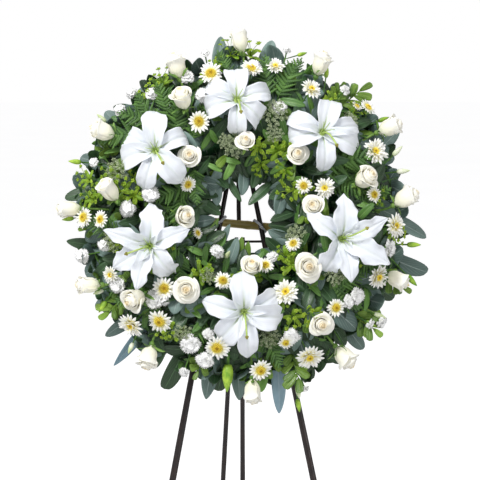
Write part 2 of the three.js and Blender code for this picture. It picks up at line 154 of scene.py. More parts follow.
# Lilies: bearing, reach, breadth of a petal, how ruffled its edges are, bearing of the
# style, and each petal's bearing and reach.
LILIES = [
    (356, 225, 45, 1.0, 175, [(0, 66), (75, 70), (129, 52), (183, 58), (252, 58), (300, 66)]),
    (43, 220, 46, 1.1, 160, [(13, 72), (78, 78), (116, 78), (175, 72), (260, 58), (292, 70)]),
    (104, 190, 45, 1.9, 60, [(4, 86), (70, 96), (119, 104), (170, 88), (212, 72), (300, 84)]),
    (182, 185, 50, 1.1, 178, [(358, 76), (64, 74), (102, 78), (174, 92), (225, 77), (285, 83)]),
    (253, 195, 43, 1.9, 250, [(10, 80), (67, 82), (144, 66), (200, 88), (241, 84), (296, 94)]),
    (306, 215, 48, 1.0, 150, [(1, 80), (61, 64), (143, 78), (194, 76), (260, 70), (300, 66)]),
]

# Roses: bearing, reach, tilt, bearing of the tilt, width, how far open from 0 to 1.
ROSES = [
    (359, 350, 80, 346, 34, 0.2),
    (27, 340, 75, 20, 42, 0.45),
    (59, 340, 75, 68, 42, 0.4),
    (84, 320, 75, 60, 44, 0.35),
    (113, 325, 75, 117, 38, 0.3),
    (145, 340, 75, 140, 44, 0.45),
    (178, 345, 80, 180, 34, 0.25),
    (215, 335, 75, 196, 44, 0.5),
    (247, 335, 75, 270, 36, 0.3),
    (273, 345, 80, 270, 34, 0.25),
    (281, 270, 65, 322, 40, 0.35),
    (301, 325, 75, 290, 40, 0.35),
    (336, 325, 75, 343, 44, 0.45),
    (332, 260, 50, 339, 44, 0.5),
    (317, 160, 10, 317, 44, 0.85),
    (0, 145, 15, 0, 38, 0.75),
    (40, 155, 10, 40, 45, 0.85),
    (73, 245, 45, 55, 48, 0.6),
    (83, 135, 25, 300, 44, 0.6),
    (130, 155, 5, 130, 57, 0.95),
    (146, 255, 15, 146, 52, 0.9),
    (174, 100, 30, 0, 42, 0.55),
    (220, 185, 5, 220, 57, 1.0),
    (234, 270, 50, 243, 48, 0.6),
    (270, 120, 25, 76, 42, 0.6),
]

# Chrysanthemum sprays: each head is bearing, reach, width.
CHRYSANTHEMUMS = [
    [(347, 285, 50), (3, 288, 46), (12, 300, 38), (28, 280, 46), (334, 205, 46)],
    [(64, 285, 54), (81, 255, 34), (71, 165, 44), (49, 325, 36), (63, 130, 36), (46, 310, 24)],
    [(94, 295, 50), (115, 285, 52), (120, 110, 36), (136, 250, 40)],
    [(158, 105, 36), (153, 168, 54), (156, 300, 58), (175, 300, 46), (163, 257, 32)],
    [(200, 135, 40), (193, 260, 52), (220, 262, 52), (227, 305, 54), (229, 212, 46)],
    [(247, 285, 36), (269, 280, 36), (270, 312, 44), (299, 130, 36), (251, 100, 26)],
]

# Carnation sprays: each head is bearing, reach, width.
CARNATIONS = [
    [(338, 295, 28), (341, 250, 34), (311, 320, 28), (323, 300, 30), (318, 325, 26),
     (4, 292, 36), (18, 222, 30), (15, 340, 18), (347, 330, 18), (39, 320, 22)],
    [(283, 190, 36), (274, 228, 36), (259, 280, 26), (257, 325, 32), (290, 312, 22)],
    [(228, 240, 38), (204, 270, 40), (196, 290, 38), (219, 90, 34), (242, 281, 36),
     (226, 226, 34), (198, 240, 24), (202, 325, 24)],
    [(103, 290, 34), (126, 268, 34), (128, 340, 28), (160, 250, 38), (130, 262, 28),
     (131, 325, 20), (146, 97, 24), (161, 358, 18)],
]


# ---- Mesh building ---------------------------------------------------------------------


def linked(name, data):
    """A new object of the scene."""
    thing = bpy.data.objects.new(name, data)
    bpy.context.scene.collection.objects.link(thing)
    return thing


class Surface:
    """Collects closed shells, each with a UV along and across it, a tone and a material."""

    def __init__(self):
        self.points = []
        self.faces = []
        self.uvs = []
        self.tones = []
        self.slots = []

    def add(self, points, faces, uvs, tone=0.5, slot=0):
        start = len(self.points)
        self.points.extend(points)
        self.uvs.extend(uvs)
        self.tones.extend([tone] * len(points))
        self.faces.extend([start + corner for corner in face] for face in faces)
        self.slots.extend([slot] * len(faces))

    def merge(self, other, matrix):
        """Adds a copy of another surface, moved by a matrix."""
        start = len(self.points)
        self.points.extend(matrix @ point for point in other.points)
        self.uvs.extend(other.uvs)
        self.tones.extend(other.tones)
        self.faces.extend([start + corner for corner in face] for face in other.faces)
        self.slots.extend(other.slots)

    def mesh(self, name, materials=()):
        made = bpy.data.meshes.new(name)
        made.from_pydata(self.points, [], self.faces)
        layer = made.uv_layers.new(name="UVMap")
        corners = [0] * len(made.loops)
        made.loops.foreach_get("vertex_index", corners)
        layer.data.foreach_set("uv", [value for corner in corners for value in self.uvs[corner]])
        made.attributes.new("tone", "FLOAT", "POINT").data.foreach_set("value", self.tones)
        made.attributes.new("part", "INT", "FACE").data.foreach_set("value", self.slots)
        made.polygons.foreach_set("material_index", self.slots)
        made.polygons.foreach_set("use_smooth", [True] * len(self.faces))
        for material in materials:
            made.materials.append(material)
        shape = bmesh.new()
        shape.from_mesh(made)
        bmesh.ops.recalc_face_normals(shape, faces=shape.faces)
        shape.to_mesh(made)
        shape.free()
        return made

    def object(self, name, materials, matrix=Matrix.Identity(4)):
        return piece(name, self.mesh(name, materials), matrix)


def piece(name, mesh, matrix):
    """An object with its place in its mesh."""
    mesh.transform(matrix)
    return linked(name, mesh)


def quads(rows, columns, wrapped=False):
    """The faces between rows of points. A wrapped row closes to a ring."""
    faces = []
    for i in range(rows - 1):
        for j in range(columns if wrapped else columns - 1):
            a, b = i * columns + j, i * columns + (j + 1) % columns
            faces.append((a, b, b + columns, a + columns))
    return faces


def closed_rings(rings, sides):
    """The faces of a closed tube: its wall and its two ends."""
    last = (rings - 1) * sides
    ends = [tuple(range(sides - 1, -1, -1)), tuple(range(last, last + sides))]
    return quads(rings, sides, True) + ends


def neighbours(line, i):
    """The items before and after one of a line, or the item itself at the line's ends."""
    return line[max(i - 1, 0)], line[min(i + 1, len(line) - 1)]


def direction_at(path, i):
    before, after = neighbours(path, i)
    return (after - before).normalized()


def shell(surface, grid, thickness, tone=0.5, slot=0, rim=0.5):
    """A closed thin sheet over a grid of points. Rows run along it, from its base."""
    rows, columns = len(grid), len(grid[0])
    normals = []
    for i, line in enumerate(grid):
        before, after = neighbours(grid, i)
        for j in range(columns):
            left, right = neighbours(line, j)
            normals.append((after[j] - before[j]).cross(right - left).normalized())
    points, uvs = [], []
    for side in (0.5, -0.5):
        for i, line in enumerate(grid):
            for j, point in enumerate(line):
                edge = j in (0, columns - 1) or i == rows - 1
                reach = side * thickness * (rim if edge else 1.0)
                points.append(point + normals[i * columns + j] * reach)
                uvs.append((j / (columns - 1), i / (rows - 1)))
    under = rows * columns
    faces = []
    for face in quads(rows, columns):
        faces += [face, [corner + under for corner in reversed(face)]]
    border = list(range(columns))
    border += [i * columns + columns - 1 for i in range(1, rows)]
    border += [(rows - 1) * columns + j for j in range(columns - 2, -1, -1)]
    border += [i * columns for i in range(rows - 2, 0, -1)]
    for a, b in zip(border, border[1:] + border[:1]):
        faces.append((b, a, a + under, b + under))
    surface.add(points, faces, uvs, tone, slot)


def tube(surface, path, radii, sides=8, tone=0.5, slot=0):
    """A closed tube along a path, with one radius or a radius at each of its points."""
    if not isinstance(radii, list):
        radii = [radii] * len(path)
    points, uvs = [], []
    reference = Vector((0.31, 0.17, 0.93)).normalized()
    for i, point in enumerate(path):
        along = direction_at(path, i)
        first = along.cross(reference).normalized()
        second = along.cross(first)
        for j in range(sides):
            angle = TURN * j / sides
            points.append(point + (first * math.cos(angle) + second * math.sin(angle)) * radii[i])
            uvs.append((j / sides, i / (len(path) - 1)))
    surface.add(points, closed_rings(len(path), sides), uvs, tone, slot)


def upright_tube(surface, heights, radii, sides, tone, slot):
    """A closed tube along +Z, from its heights and radii in millimetres."""
    tube(surface, [raised(z * MM) for z in heights], [r * MM for r in radii], sides, tone, slot)


def curve_through(start, middle, end, steps):
    """A smooth path of a quadratic curve through three control points."""
    path = []
    for i in range(steps + 1):
        t = i / steps
        path.append(start * (1 - t) ** 2 + middle * 2 * t * (1 - t) + end * t ** 2)
    return path


def blob(surface, middle, radius, tone=0.5, slot=0, rings=4, sides=6, squash=1.0):
    """A small closed rounded body: a bead, a bud or a stigma."""
    points = [middle - raised(radius * squash)]
    uvs = [(0, 0)]
    for i in range(1, rings):
        angle = math.pi * i / rings
        for j in range(sides):
            side = level(TURN * j / sides) * math.sin(angle) * radius
            points.append(middle + side - raised(math.cos(angle) * radius * squash))
            uvs.append((j / sides, i / rings))
    points.append(middle + raised(radius * squash))
    uvs.append((0, 1))
    top = len(points) - 1
    faces = [[corner + 1 for corner in face] for face in quads(rings - 1, sides, True)]
    for j in range(sides):
        k = (j + 1) % sides
        faces += [(0, 1 + k, 1 + j), (top, top - sides + j, top - sides + k)]
    surface.add(points, faces, uvs, tone, slot)


def highest(outline):
    """The highest value of an outline between 0 and 1."""
    return max(outline(k / 50) for k in range(51))


def leaf_blade(surface, matrix, length, width, rng, tone=0.5, slot=0,
               rows=7, columns=5, fold=0.25, droop=0.2, blunt=0.5, thickness=0.7 * MM):
    """A leaf from the origin along +Y, facing +Z: folded at its midrib and drooping."""
    twist = rng.uniform(-0.25, 0.25)
    sway = rng.uniform(-0.08, 0.08)
    phase = rng.uniform(0, TURN)

    def outline(t):
        return (0.05 + t) ** 0.75 * (1 - t) ** blunt

    peak = highest(outline)
    grid = []
    for i in range(rows):
        t = 1 - (1 - i / (rows - 1)) ** 1.6
        half = width / 2 * outline(t) / peak + 0.4 * MM
        line = []
        for j in range(columns):
            c = 2 * j / (columns - 1) - 1
            wave = math.sin(phase + 7 * t + 2 * c) * 0.05 * abs(c)
            rise = fold * abs(c) + wave + twist * c * t
            x = c * half * (1 - 0.15 * fold) + sway * length * t * t
            y = length * t * (1 - 0.12 * droop * t)
            z = half * rise - droop * length * t ** 2.2
            line.append(matrix @ Vector((x, y, z)))
        grid.append(line)
    shell(surface, grid, thickness, tone, slot)


# ---- Node trees -------------------------------------------------------------------------


def spaced(inputs):
    """Inputs whose names were written with underscores, under the names of their sockets."""
    return {key.replace("_", " "): value for key, value in inputs.items()}


def tint(code):
    """A colour from its six hex digits, as shaders need it."""
    parts = [int(code[i:i + 2], 16) / 255 for i in (0, 2, 4)]
    linear = [p / 12.92 if p <= 0.04045 else ((p + 0.055) / 1.055) ** 2.4 for p in parts]
    return (*linear, 1.0)


class Recipe:
    """Adds nodes to a tree. Their inputs are given as values, or as other nodes' outputs."""

    def __init__(self, tree):
        self.tree = tree

    def plug(self, socket, value):
        if isinstance(value, bpy.types.NodeSocket):
            self.tree.links.new(value, socket)
        else:
            socket.default_value = value

    def node(self, kind, inputs=None, **settings):
        made = self.tree.nodes.new(kind)
        for key, value in settings.items():
            setattr(made, key, value)
        for key, value in (inputs or {}).items():
            self.plug(made.inputs[key], value)
        return made

    def math(self, operation, *values):
        made = self.node("ShaderNodeMath", operation=operation)
        for socket, value in zip(made.inputs, values):
            self.plug(socket, value)
        return made.outputs[0]

    def plus(self, first, second):
        return self.math("ADD", first, second)

    def minus(self, first, second):
        return self.math("SUBTRACT", first, second)

    def times(self, first, second):
        return self.math("MULTIPLY", first, second)

    def fade(self, value, low, high, start=0.0, end=1.0):
        """Maps low to high smoothly onto start to end."""
        inputs = {"Value": value, "From Min": low, "From Max": high, "To Min": start,
                  "To Max": end}
        made = self.node("ShaderNodeMapRange", inputs, interpolation_type="SMOOTHSTEP")
        return made.outputs[0]

    def mix(self, share, *colours):
        """Two colours mixed. Each is six hex digits, or another node's output."""
        first, second = [tint(c) if isinstance(c, str) else c for c in colours]
        return self.node("ShaderNodeMix", {0: share, 6: first, 7: second},
                         data_type="RGBA").outputs[2]

    def noise(self, place, scale, detail, roughness):
        return self.node("ShaderNodeTexNoise", {
            "Vector": place, "Scale": scale, "Detail": detail,
            "Roughness": roughness}).outputs[0]

    def random(self, low, high, seed):
        made = self.node("FunctionNodeRandomValue", {2: low, 3: high, 8: seed},
                         data_type="FLOAT")
        return made.outputs[1]

    def vector(self, x, y, z):
        return self.node("ShaderNodeCombineXYZ", {0: x, 1: y, 2: z}).outputs[0]

    def parts(self, vector):
        return self.node("ShaderNodeSeparateXYZ", {0: vector}).outputs

    def round_axis(self, angle, radius, height):
        """A place at an angle and a radius round the Z axis."""
        return self.vector(self.times(self.math("COSINE", angle), radius),
                           self.times(self.math("SINE", angle), radius), height)

    def turned(self, angles):
        return self.node("FunctionNodeEulerToRotation", {0: angles}).outputs[0]

    def named(self, label, kind="FLOAT"):
        made = self.node("GeometryNodeInputNamedAttribute", {"Name": label}, data_type=kind)
        return made.outputs["Attribute"]

    def index(self):
        return self.node("GeometryNodeInputIndex").outputs[0]

    def shaded(self, points, value):
        """Points that carry a shade for the copies that stand on them."""
        made = self.node("GeometryNodeStoreNamedAttribute",
                         {"Geometry": points, "Name": "shade", "Value": value},
                         data_type="FLOAT", domain="POINT")
        return made.outputs[0]

    def copies(self, points, entry, **inputs):
        """Copies on points, of a tree's one shape or of the shapes in its collection."""
        if "Shape" in entry:
            made = self.node("GeometryNodeObjectInfo", {"Object": entry["Shape"]})
            shape = made.outputs["Geometry"]
        else:
            shape = self.node("GeometryNodeCollectionInfo", {
                "Collection": entry["Shapes"], "Separate Children": True,
                "Reset Children": True}).outputs[0]
            inputs["Pick_Instance"] = True
        return self.node("GeometryNodeInstanceOnPoints", {
            "Points": points, "Instance": shape, **spaced(inputs)}).outputs[0]


PART_MATERIALS = ("First material", "Second material", "Third material")


def sockets(tree, in_out, **labels):
    """New sockets of a node group: each label has its kind, or a kind and a default value."""
    for label, spec in spaced(labels).items():
        kind, value = spec if isinstance(spec, tuple) else (spec, None)
        socket = tree.interface.new_socket(name=label, in_out=in_out,
                                           socket_type="NodeSocket" + kind)
        if value is not None:
            socket.default_value = value


def geometry_tree(name, build, **inputs):
    """A geometry node group that ends in real, painted faces."""
    tree = bpy.data.node_groups.new(name, "GeometryNodeTree")
    paints = {label.replace(" ", "_"): "Material" for label in PART_MATERIALS}
    sockets(tree, "INPUT", Geometry="Geometry", **inputs, **paints)
    sockets(tree, "OUTPUT", Geometry="Geometry")
    recipe = Recipe(tree)
    entry = recipe.node("NodeGroupInput").outputs
    shape = build(recipe, entry)
    shape = recipe.node("GeometryNodeRealizeInstances", {"Geometry": shape}).outputs[0]
    part = recipe.named("part", "INT")
    for k, label in enumerate(PART_MATERIALS):
        same = recipe.node("FunctionNodeCompare", {2: part, 3: k}, data_type="INT",
                           operation="EQUAL").outputs[0]
        inputs = {"Geometry": shape, "Selection": same, "Material": entry[label]}
        shape = recipe.node("GeometryNodeSetMaterial", inputs).outputs[0]
    recipe.node("NodeGroupOutput", {"Geometry": shape})
    return tree


def ring_build(recipe, entry):
    """Copies of a shape round a circle, pointing outwards, with small differences."""
    seed = entry["Seed"]
    stray = recipe.random(recipe.times(entry["Stray"], -1.0), entry["Stray"], seed)
    angle = recipe.times(recipe.math("DIVIDE", TURN, entry["Count"]),
                         recipe.plus(recipe.index(), stray))
    place = recipe.round_axis(angle, entry["Radius"], entry["Rise"])
    points = recipe.node("GeometryNodePoints", {"Count": entry["Count"], "Position": place})
    after = recipe.plus(seed, 1)
    sway = recipe.random(-1.0, 1.0, after)
    lift = recipe.plus(entry["Lift"], recipe.times(sway, entry["Lift spread"]))
    turn = recipe.turned(recipe.vector(lift, 0, recipe.minus(angle, TURN / 4)))
    size = recipe.times(entry["Size"], recipe.random(entry["Least"], 1.0, after))
    return recipe.copies(points.outputs[0], entry, Rotation=turn, Scale=size)


def spiral_build(recipe, entry):
    """Copies of a shape in a sunflower spiral over a shallow dome."""
    index = recipe.index()
    share = recipe.math("DIVIDE", recipe.plus(index, 0.5), entry["Count"])
    radius = recipe.times(recipe.math("SQRT", share), entry["Radius"])
    fall = recipe.minus(1.0, recipe.times(share, 0.85))
    height = recipe.times(recipe.math("SQRT", fall), entry["Dome"])
    place = recipe.round_axis(recipe.times(index, GOLDEN), radius,
                              recipe.plus(entry["Rise"], height))
    points = recipe.node("GeometryNodePoints", {"Count": entry["Count"], "Position": place})
    return recipe.copies(recipe.shaded(points.outputs[0], share), entry, Scale=entry["Size"])


def set_out_build(recipe, entry):
    """A shape at each point, turned, sized and picked by the point's attributes."""
    turn = recipe.turned(recipe.named("turn", "FLOAT_VECTOR"))
    return recipe.copies(entry["Geometry"], entry, Instance_Index=recipe.named("pick", "INT"),
                         Rotation=turn, Scale=recipe.named("size"))


def scatter_build(recipe, entry):
    """Shapes over a surface: they lie along it, point away from the ring, and lift."""
    seed = entry["Seed"]
    spread = recipe.node("GeometryNodeDistributePointsOnFaces", {
        "Mesh": entry["Geometry"], "Distance Min": entry["Distance"],
        "Density Max": DENSEST_LEAVES, "Seed": seed}, distribute_method="POISSON")
    parts = recipe.parts(recipe.node("GeometryNodeInputPosition").outputs[0])
    flat = recipe.vector(parts[0], parts[1], 0)
    reach = recipe.node("ShaderNodeVectorMath", {0: flat}, operation="LENGTH").outputs["Value"]
    side = recipe.math("SIGN", recipe.minus(reach, entry["Parting"]))
    away = recipe.vector(recipe.times(parts[0], side), recipe.times(parts[1], side), 0)
    aim = recipe.node("FunctionNodeAxesToRotation", {
        0: spread.outputs["Normal"], 1: away}, primary_axis="Z", secondary_axis="Y")
    swing = recipe.times(entry["Swing"], recipe.random(-1.0, 1.0, seed))
    lift = recipe.random(entry["Least lift"], entry["Most lift"], recipe.plus(seed, 7))
    roll = recipe.random(-0.5, 0.5, recipe.plus(seed, 14))
    by = recipe.turned(recipe.vector(lift, roll, swing))
    turn = recipe.node("FunctionNodeRotateRotation", {0: aim.outputs[0], 1: by},
                       rotation_space="LOCAL").outputs[0]
    kept = recipe.shaded(spread.outputs["Points"],
                         recipe.random(0.0, 1.0, recipe.plus(seed, 21)))
    size = recipe.random(entry["Smallest"], entry["Largest"], recipe.plus(seed, 28))
    return recipe.copies(kept, entry, Rotation=turn, Scale=size)


DENSEST_LEAVES = 9000.0

RING = geometry_tree(
    "ring_of_rays", ring_build, Shape="Object", Count=("Int", 19), Radius=("Float", 0.01),
    Rise=("Float", 0.0), Lift=("Float", 0.2), Lift_spread=("Float", 0.1),
    Stray=("Float", 0.25), Size=("Float", 0.02), Least=("Float", 0.84), Seed=("Int", 0))
SPIRAL = geometry_tree(
    "spiral_of_florets", spiral_build, Shape="Object", Count=("Int", 58),
    Radius=("Float", 0.01), Rise=("Float", 0.0), Dome=("Float", 0.01), Size=("Float", 0.001))
SET_OUT = geometry_tree("set_out_shapes", set_out_build, Shapes="Collection")
SCATTER = geometry_tree(
    "scatter_over_bed", scatter_build, Shapes="Collection", Distance=("Float", 0.02),
    Parting=("Float", 0.15), Swing=("Float", 1.0), Least_lift=("Float", 0.0),
    Most_lift=("Float", 0.6), Smallest=("Float", 0.8), Largest=("Float", 1.2),
    Seed=("Int", 0))


def grow(name, base, tree, materials, **values):
    """Runs a geometry tree on a mesh, and gives the result as a plain mesh."""
    values = {**spaced(values), **dict(zip(PART_MATERIALS, materials))}
    holder = linked(name, base)
    modifier = holder.modifiers.new(tree.name, "NODES")
    modifier.node_group = tree
    for item in tree.interface.items_tree:
        if item.in_out == "INPUT" and item.name in values:
            modifier[item.identifier] = values[item.name]
    depsgraph = bpy.context.evaluated_depsgraph_get()
    made = bpy.data.meshes.new_from_object(holder.evaluated_get(depsgraph),
                                           preserve_all_data_layers=True, depsgraph=depsgraph)
    holder.modifiers.remove(modifier)
    bpy.data.objects.remove(holder)
    return made


def point_mesh(spots):
    """A mesh of loose points. Each spot is a matrix, the number of a shape, and a shade."""
    matrices = [matrix for matrix, _, _ in spots]
    made = bpy.data.meshes.new("points")
    made.from_pydata([matrix.to_translation() for matrix in matrices], [], [])
    for label, kind, field, values in (
            ("turn", "FLOAT_VECTOR", "vector", [v for m in matrices for v in m.to_euler()]),
            ("size", "FLOAT", "value", [matrix.to_scale().x for matrix in matrices]),
            ("pick", "INT", "value", [number for _, number, _ in spots]),
            ("shade", "FLOAT", "value", [shade for _, _, shade in spots])):
        made.attributes.new(label, kind, "POINT").data.foreach_set(field, values)
    return made


def set_out(name, spots, shapes, *materials):
    """Shapes from a collection, set out at their spots as one mesh."""
    return grow(name, point_mesh(spots), SET_OUT, materials, Shapes=shapes)


def shape_box(name, meshes):
    """A collection of shapes, in their order, for the trees to pick from."""
    box = bpy.data.collections.new(name)
    for k, mesh in enumerate(meshes):
        box.objects.link(bpy.data.objects.new(f"{name}_{k:02d}", mesh))
    return box


def joined(name, meshes):
    """One mesh of several."""
    things = [linked(name, mesh) for mesh in meshes]
    with bpy.context.temp_override(active_object=things[0], object=things[0],
                                   selected_objects=things, selected_editable_objects=things):
        bpy.ops.object.join()
    made = things[0].data
    bpy.data.objects.remove(things[0])
    made.name = name
    return made


# ---- Flowers: each faces +Z, with the top of its stem at the origin ----------------------

LILY_STEPS = 24
LILY_COLUMNS = 17
LILY_CLAW_RISE = 72
LILY_LENGTH = 98 * MM
LILY_TILT = 9
ROSE_ROWS = 9
ROSE_COLUMNS = 11
ROSE_LEAST_PETALS = 13
ROSE_MORE_PETALS = 9
HEART_PHASE = 0.15
HEAD_WIDTH = 50 * MM
HEAD_RISE = 2.5 * MM
FLORETS = 72
FRILL_COLUMNS = 11


def petal_path(length, reach):
    """The midrib of a lily petal as (radius, height) steps: it curls till it has the reach."""
    low, high = -170.0, -15.0
    path = []
    for _ in range(20):
        end = (low + high) / 2
        radius, height = 4 * MM, 0.0
        path = [(radius, height)]
        for i in range(LILY_STEPS):
            share = (i + 0.5) / LILY_STEPS
            angle = math.radians(LILY_CLAW_RISE + (end - LILY_CLAW_RISE) * share ** 0.85)
            radius += math.cos(angle) * length / LILY_STEPS
            height += math.sin(angle) * length / LILY_STEPS
            path.append((radius, height))
        if radius > reach:
            high = end
        else:
            low = end
    return path


def lily_petal(surface, bearing, reach, width, ruffle, broad, rng, tone):
    """One petal: a channelled claw that opens into a broad, waved and recurved blade."""
    length = max(LILY_LENGTH, reach * (1.28 - 0.09 * ruffle))
    path = petal_path(length, reach)
    phase = rng.uniform(0, TURN)
    wavy = rng.uniform(0.9, 1.3) * ruffle * (2.0 if broad else 1.4) * MM
    bend = rng.uniform(-0.09, 0.09)
    twist = rng.uniform(-0.35, 0.35)
    point = (0.42 + 0.25 * ruffle) * rng.uniform(0.85, 1.25)

    def outline(t):
        return (t + 0.03) ** 1.15 * (1.012 - t) ** point

    widest = highest(outline)
    side = outward(bearing + 90)
    ahead = outward(bearing)
    grid = []
    for i, (radius, height) in enumerate(path):
        t = i / LILY_STEPS
        before, after = neighbours(path, i)
        run, lift = after[0] - before[0], after[1] - before[1]
        norm = math.hypot(run, lift)
        up = ahead * (-lift / norm) + raised(run / norm)
        half = 3.2 * MM * (1 - t) + width / 2 * outline(t) / widest
        cup = 0.62 * (1 - t) ** 1.4 + 0.16 - 0.42 * t ** 3
        centre = ahead * radius + raised(height) + side * bend * length * t * t
        line = []
        for j in range(LILY_COLUMNS):
            c = 2 * j / (LILY_COLUMNS - 1) - 1
            groove = -1.9 * MM * math.exp(-(c / 0.1) ** 2) * (1 - 0.5 * t)
            ridge = 1.2 * MM * math.exp(-((abs(c) - 0.27) / 0.13) ** 2) * (1 - 0.6 * t)
            strength = abs(c) ** 2.2 * min(1, 3 * t)
            wave = wavy * math.sin(phase + 13 * t + 1.5 * c) * strength
            wave += 0.5 * wavy * math.sin(2 * phase + 27 * t - 2 * c) * strength
            lift_edge = cup * half * c * c + twist * half * c * t * 0.5
            beat = phase + 2.5 * (c > 0)
            frill = math.sin(beat + 16 * t) + 0.45 * math.sin(2 * beat + 33 * t)
            out = half * c * (1 + 0.035 * ruffle ** 2 * strength * frill)
            line.append(centre + side * out + up * (lift_edge + groove + ridge + wave))
        grid.append(line)
    shell(surface, grid, 1.1 * MM, tone, 0, rim=0.35)


def lily_organs(surface, style_bearing, rng):
    """Six green filaments and a long style with a three-lobed stigma."""
    for k in range(6):
        out = outward(60 * k + 30 + rng.uniform(-8, 8))
        tip = out * rng.uniform(11, 17) * MM + raised(rng.uniform(38, 48) * MM)
        path = curve_through(out * 2 * MM, out * 3 * MM + raised(26 * MM), tip, 9)
        tube(surface, path, [(1.25 - 0.08 * i) * MM for i in range(len(path))], 7, 0.5, 1)
    aim = outward(style_bearing)
    tip = aim * 40 * MM + raised(62 * MM)
    path = curve_through(Vector(), aim * 5 * MM + raised(52 * MM), tip, 12)
    tube(surface, path, [(1.5 + 0.03 * i) * MM for i in range(len(path))], 8, 0.35, 1)
    for k in range(3):
        lobe = tip + outward(style_bearing + 120 * k) * 1.7 * MM
        blob(surface, lobe, 2.5 * MM, 0.9, 2, 5, 8)


def lily(name, spec, seed, materials):
    """A lily bloom on its stalk, in the wreath's frame."""
    bearing, reach, width, ruffle, style_bearing, petals = spec
    rng = random.Random(seed)
    surface, bloom = Surface(), Surface()
    for k, (petal_bearing, petal_reach) in enumerate(petals):
        broad = k % 2 == 0
        petal = Surface()
        lily_petal(petal, petal_bearing, petal_reach * MM, width * MM * (1.0 if broad else 0.78),
                   ruffle, broad, rng, rng.random())
        bloom.merge(petal, Matrix.Translation((0, 0, (0.0 if broad else -2.5) * MM)))
    lily_organs(bloom, style_bearing, rng)
    upright_tube(bloom, (-32, -26, -16, -6, 2, 6), (2.5, 4, 5.2, 6.8, 8, 6), 14, 0.5, 1)
    base = spot(bearing, reach, DOME_HEIGHT - 14)
    aim = facing(LILY_TILT, bearing)
    surface.merge(bloom, pose(base, aim))
    neck = base - aim * 28 * MM
    tube(surface, curve_through(neck, neck - aim * 22 * MM, root_of(base), 8), 4 * MM, 8, 0.4, 3)
    return surface.object(name, materials, WREATH)


def rose_petal(surface, turn, f, width, length, openness, rng):
    """One petal of a rose: f runs from 0 at the heart to 1 at the outside."""
    spread = 0.1 + 0.9 * f ** 0.8
    body = 1 - openness + openness * (0.3 + 0.3 * f) / spread
    radius = width / 2 * spread * rng.uniform(0.96, 1.04) / (1 + 0.32 * openness ** 2)
    span = math.radians(250 - 105 * f + rng.uniform(-18, 18))
    close = (0.24 * (1 - f) + 0.5 * (1 - smooth(0.0, 0.2, f))) * openness
    close += (0.6 * (1 - f) + 0.14) * (1 - openness)
    lip = smooth(0.45, 1.0, f) * (0.13 + 0.09 * openness)
    rise = length * (1 - 0.32 * openness * f ** 1.3) * rng.uniform(0.97, 1.03)
    phase = rng.uniform(0, TURN)
    grid = []
    for i in range(ROSE_ROWS):
        t = i / (ROSE_ROWS - 1)
        belly = math.sin(min(t / 0.45, 1) * math.pi / 2)
        past = max(0.0, (t - 0.45) / 0.55)
        curl = max(0.0, (t - 0.66) / 0.34) ** 2
        flare = body + (1 - body) * past ** 1.3
        line = []
        for j in range(ROSE_COLUMNS):
            a = 2 * j / (ROSE_COLUMNS - 1) - 1
            edge = abs(a) ** 2.6
            fold = lip * curl * (1.3 - 0.6 * abs(a))
            profile = (0.22 + 0.78 * belly) * flare - close * past ** 1.4 + fold * 1.5
            spiral = 1 + 0.07 * a * (1 - 0.5 * f)
            ripple = 1 + 0.05 * math.sin(phase + 3.4 * a) * t * (0.4 + f)
            around = turn + a * span / 2 * (0.72 + 0.28 * belly)
            top = rise * t * (1 - (0.1 + 0.14 * f) * edge * t) - fold * radius * 0.9
            line.append(level(around) * (radius * profile * spiral * ripple) + raised(top))
        grid.append(line)
    shell(surface, grid, (0.9 + 0.8 * openness * (1 - f)) * MM, 0.25 + 0.75 * f)


def rose_calyx(surface, width, rng):
    """The swollen green cup below a rose, with five pointed sepals."""
    upright_tube(surface, (-9, -7, -4, -1, 1.5), (2.6, 4.6, 5.6, 5.2, 3.5), 10, 0.5, 1)
    for k in range(5):
        bearing = 72 * k + rng.uniform(-10, 10)
        along = facing(rng.uniform(35, 75), bearing)
        turn = Vector((0, 1, 0)).rotation_difference(along).to_matrix().to_4x4()
        leaf_blade(surface, Matrix.Translation(outward(bearing) * 3.5 * MM) @ turn,
                   width * rng.uniform(0.42, 0.6), 6.5 * MM, rng, 0.5, 1, 5, 3, 0.3, 0.35, 0.7,
                   0.6 * MM)


def rose(name, spec, seed, materials):
    """A rose on its stem, in the wreath's frame."""
    bearing, reach, tilt, aim_bearing, width, openness = spec
    rng = random.Random(seed)
    surface, bloom = Surface(), Surface()
    count = ROSE_LEAST_PETALS + round(ROSE_MORE_PETALS * openness)
    length = (34 + 0.6 * width) * MM * (1 - 0.34 * openness)
    for k in range(count):
        f = k / (count - 1)
        f += 0.1 * openness * (math.sin(TURN * (f + HEART_PHASE)) - math.sin(TURN * HEART_PHASE))
        turn = k * GOLDEN + rng.uniform(-0.25, 0.25)
        rose_petal(bloom, turn, f, width * MM, length, openness, rng)
    rose_calyx(bloom, width * MM, rng)
    aim = facing(tilt, aim_bearing)
    base = spot(bearing, reach, dome_depth(reach)) - aim * 26 * MM
    surface.merge(bloom, pose(base, aim, rng.uniform(0, 360)))
    neck = base - aim * 8 * MM
    path = curve_through(neck, neck - aim * 24 * MM, root_of(base), 8)
    tube(surface, path, 2.4 * MM, 8, 0.4, 1)
    return surface.object(name, materials, WREATH)


def ray_petal(width):
    """A strap-shaped ray of a chrysanthemum, of unit length along +Y."""
    surface = Surface()
    grid = []
    for t, w in ((0, 0.5), (0.35, 0.95), (0.7, 0.95), (0.9, 0.55), (1, 0.1)):
        half = width / 2 * w
        grid.append([Vector((x, t, half * 0.35 * abs(side) - 0.1 * t * t))
                     for side, x in ((-1, -half), (0, 0), (1, half))])
    shell(surface, grid, 0.03)
    return surface.mesh("ray_petal")


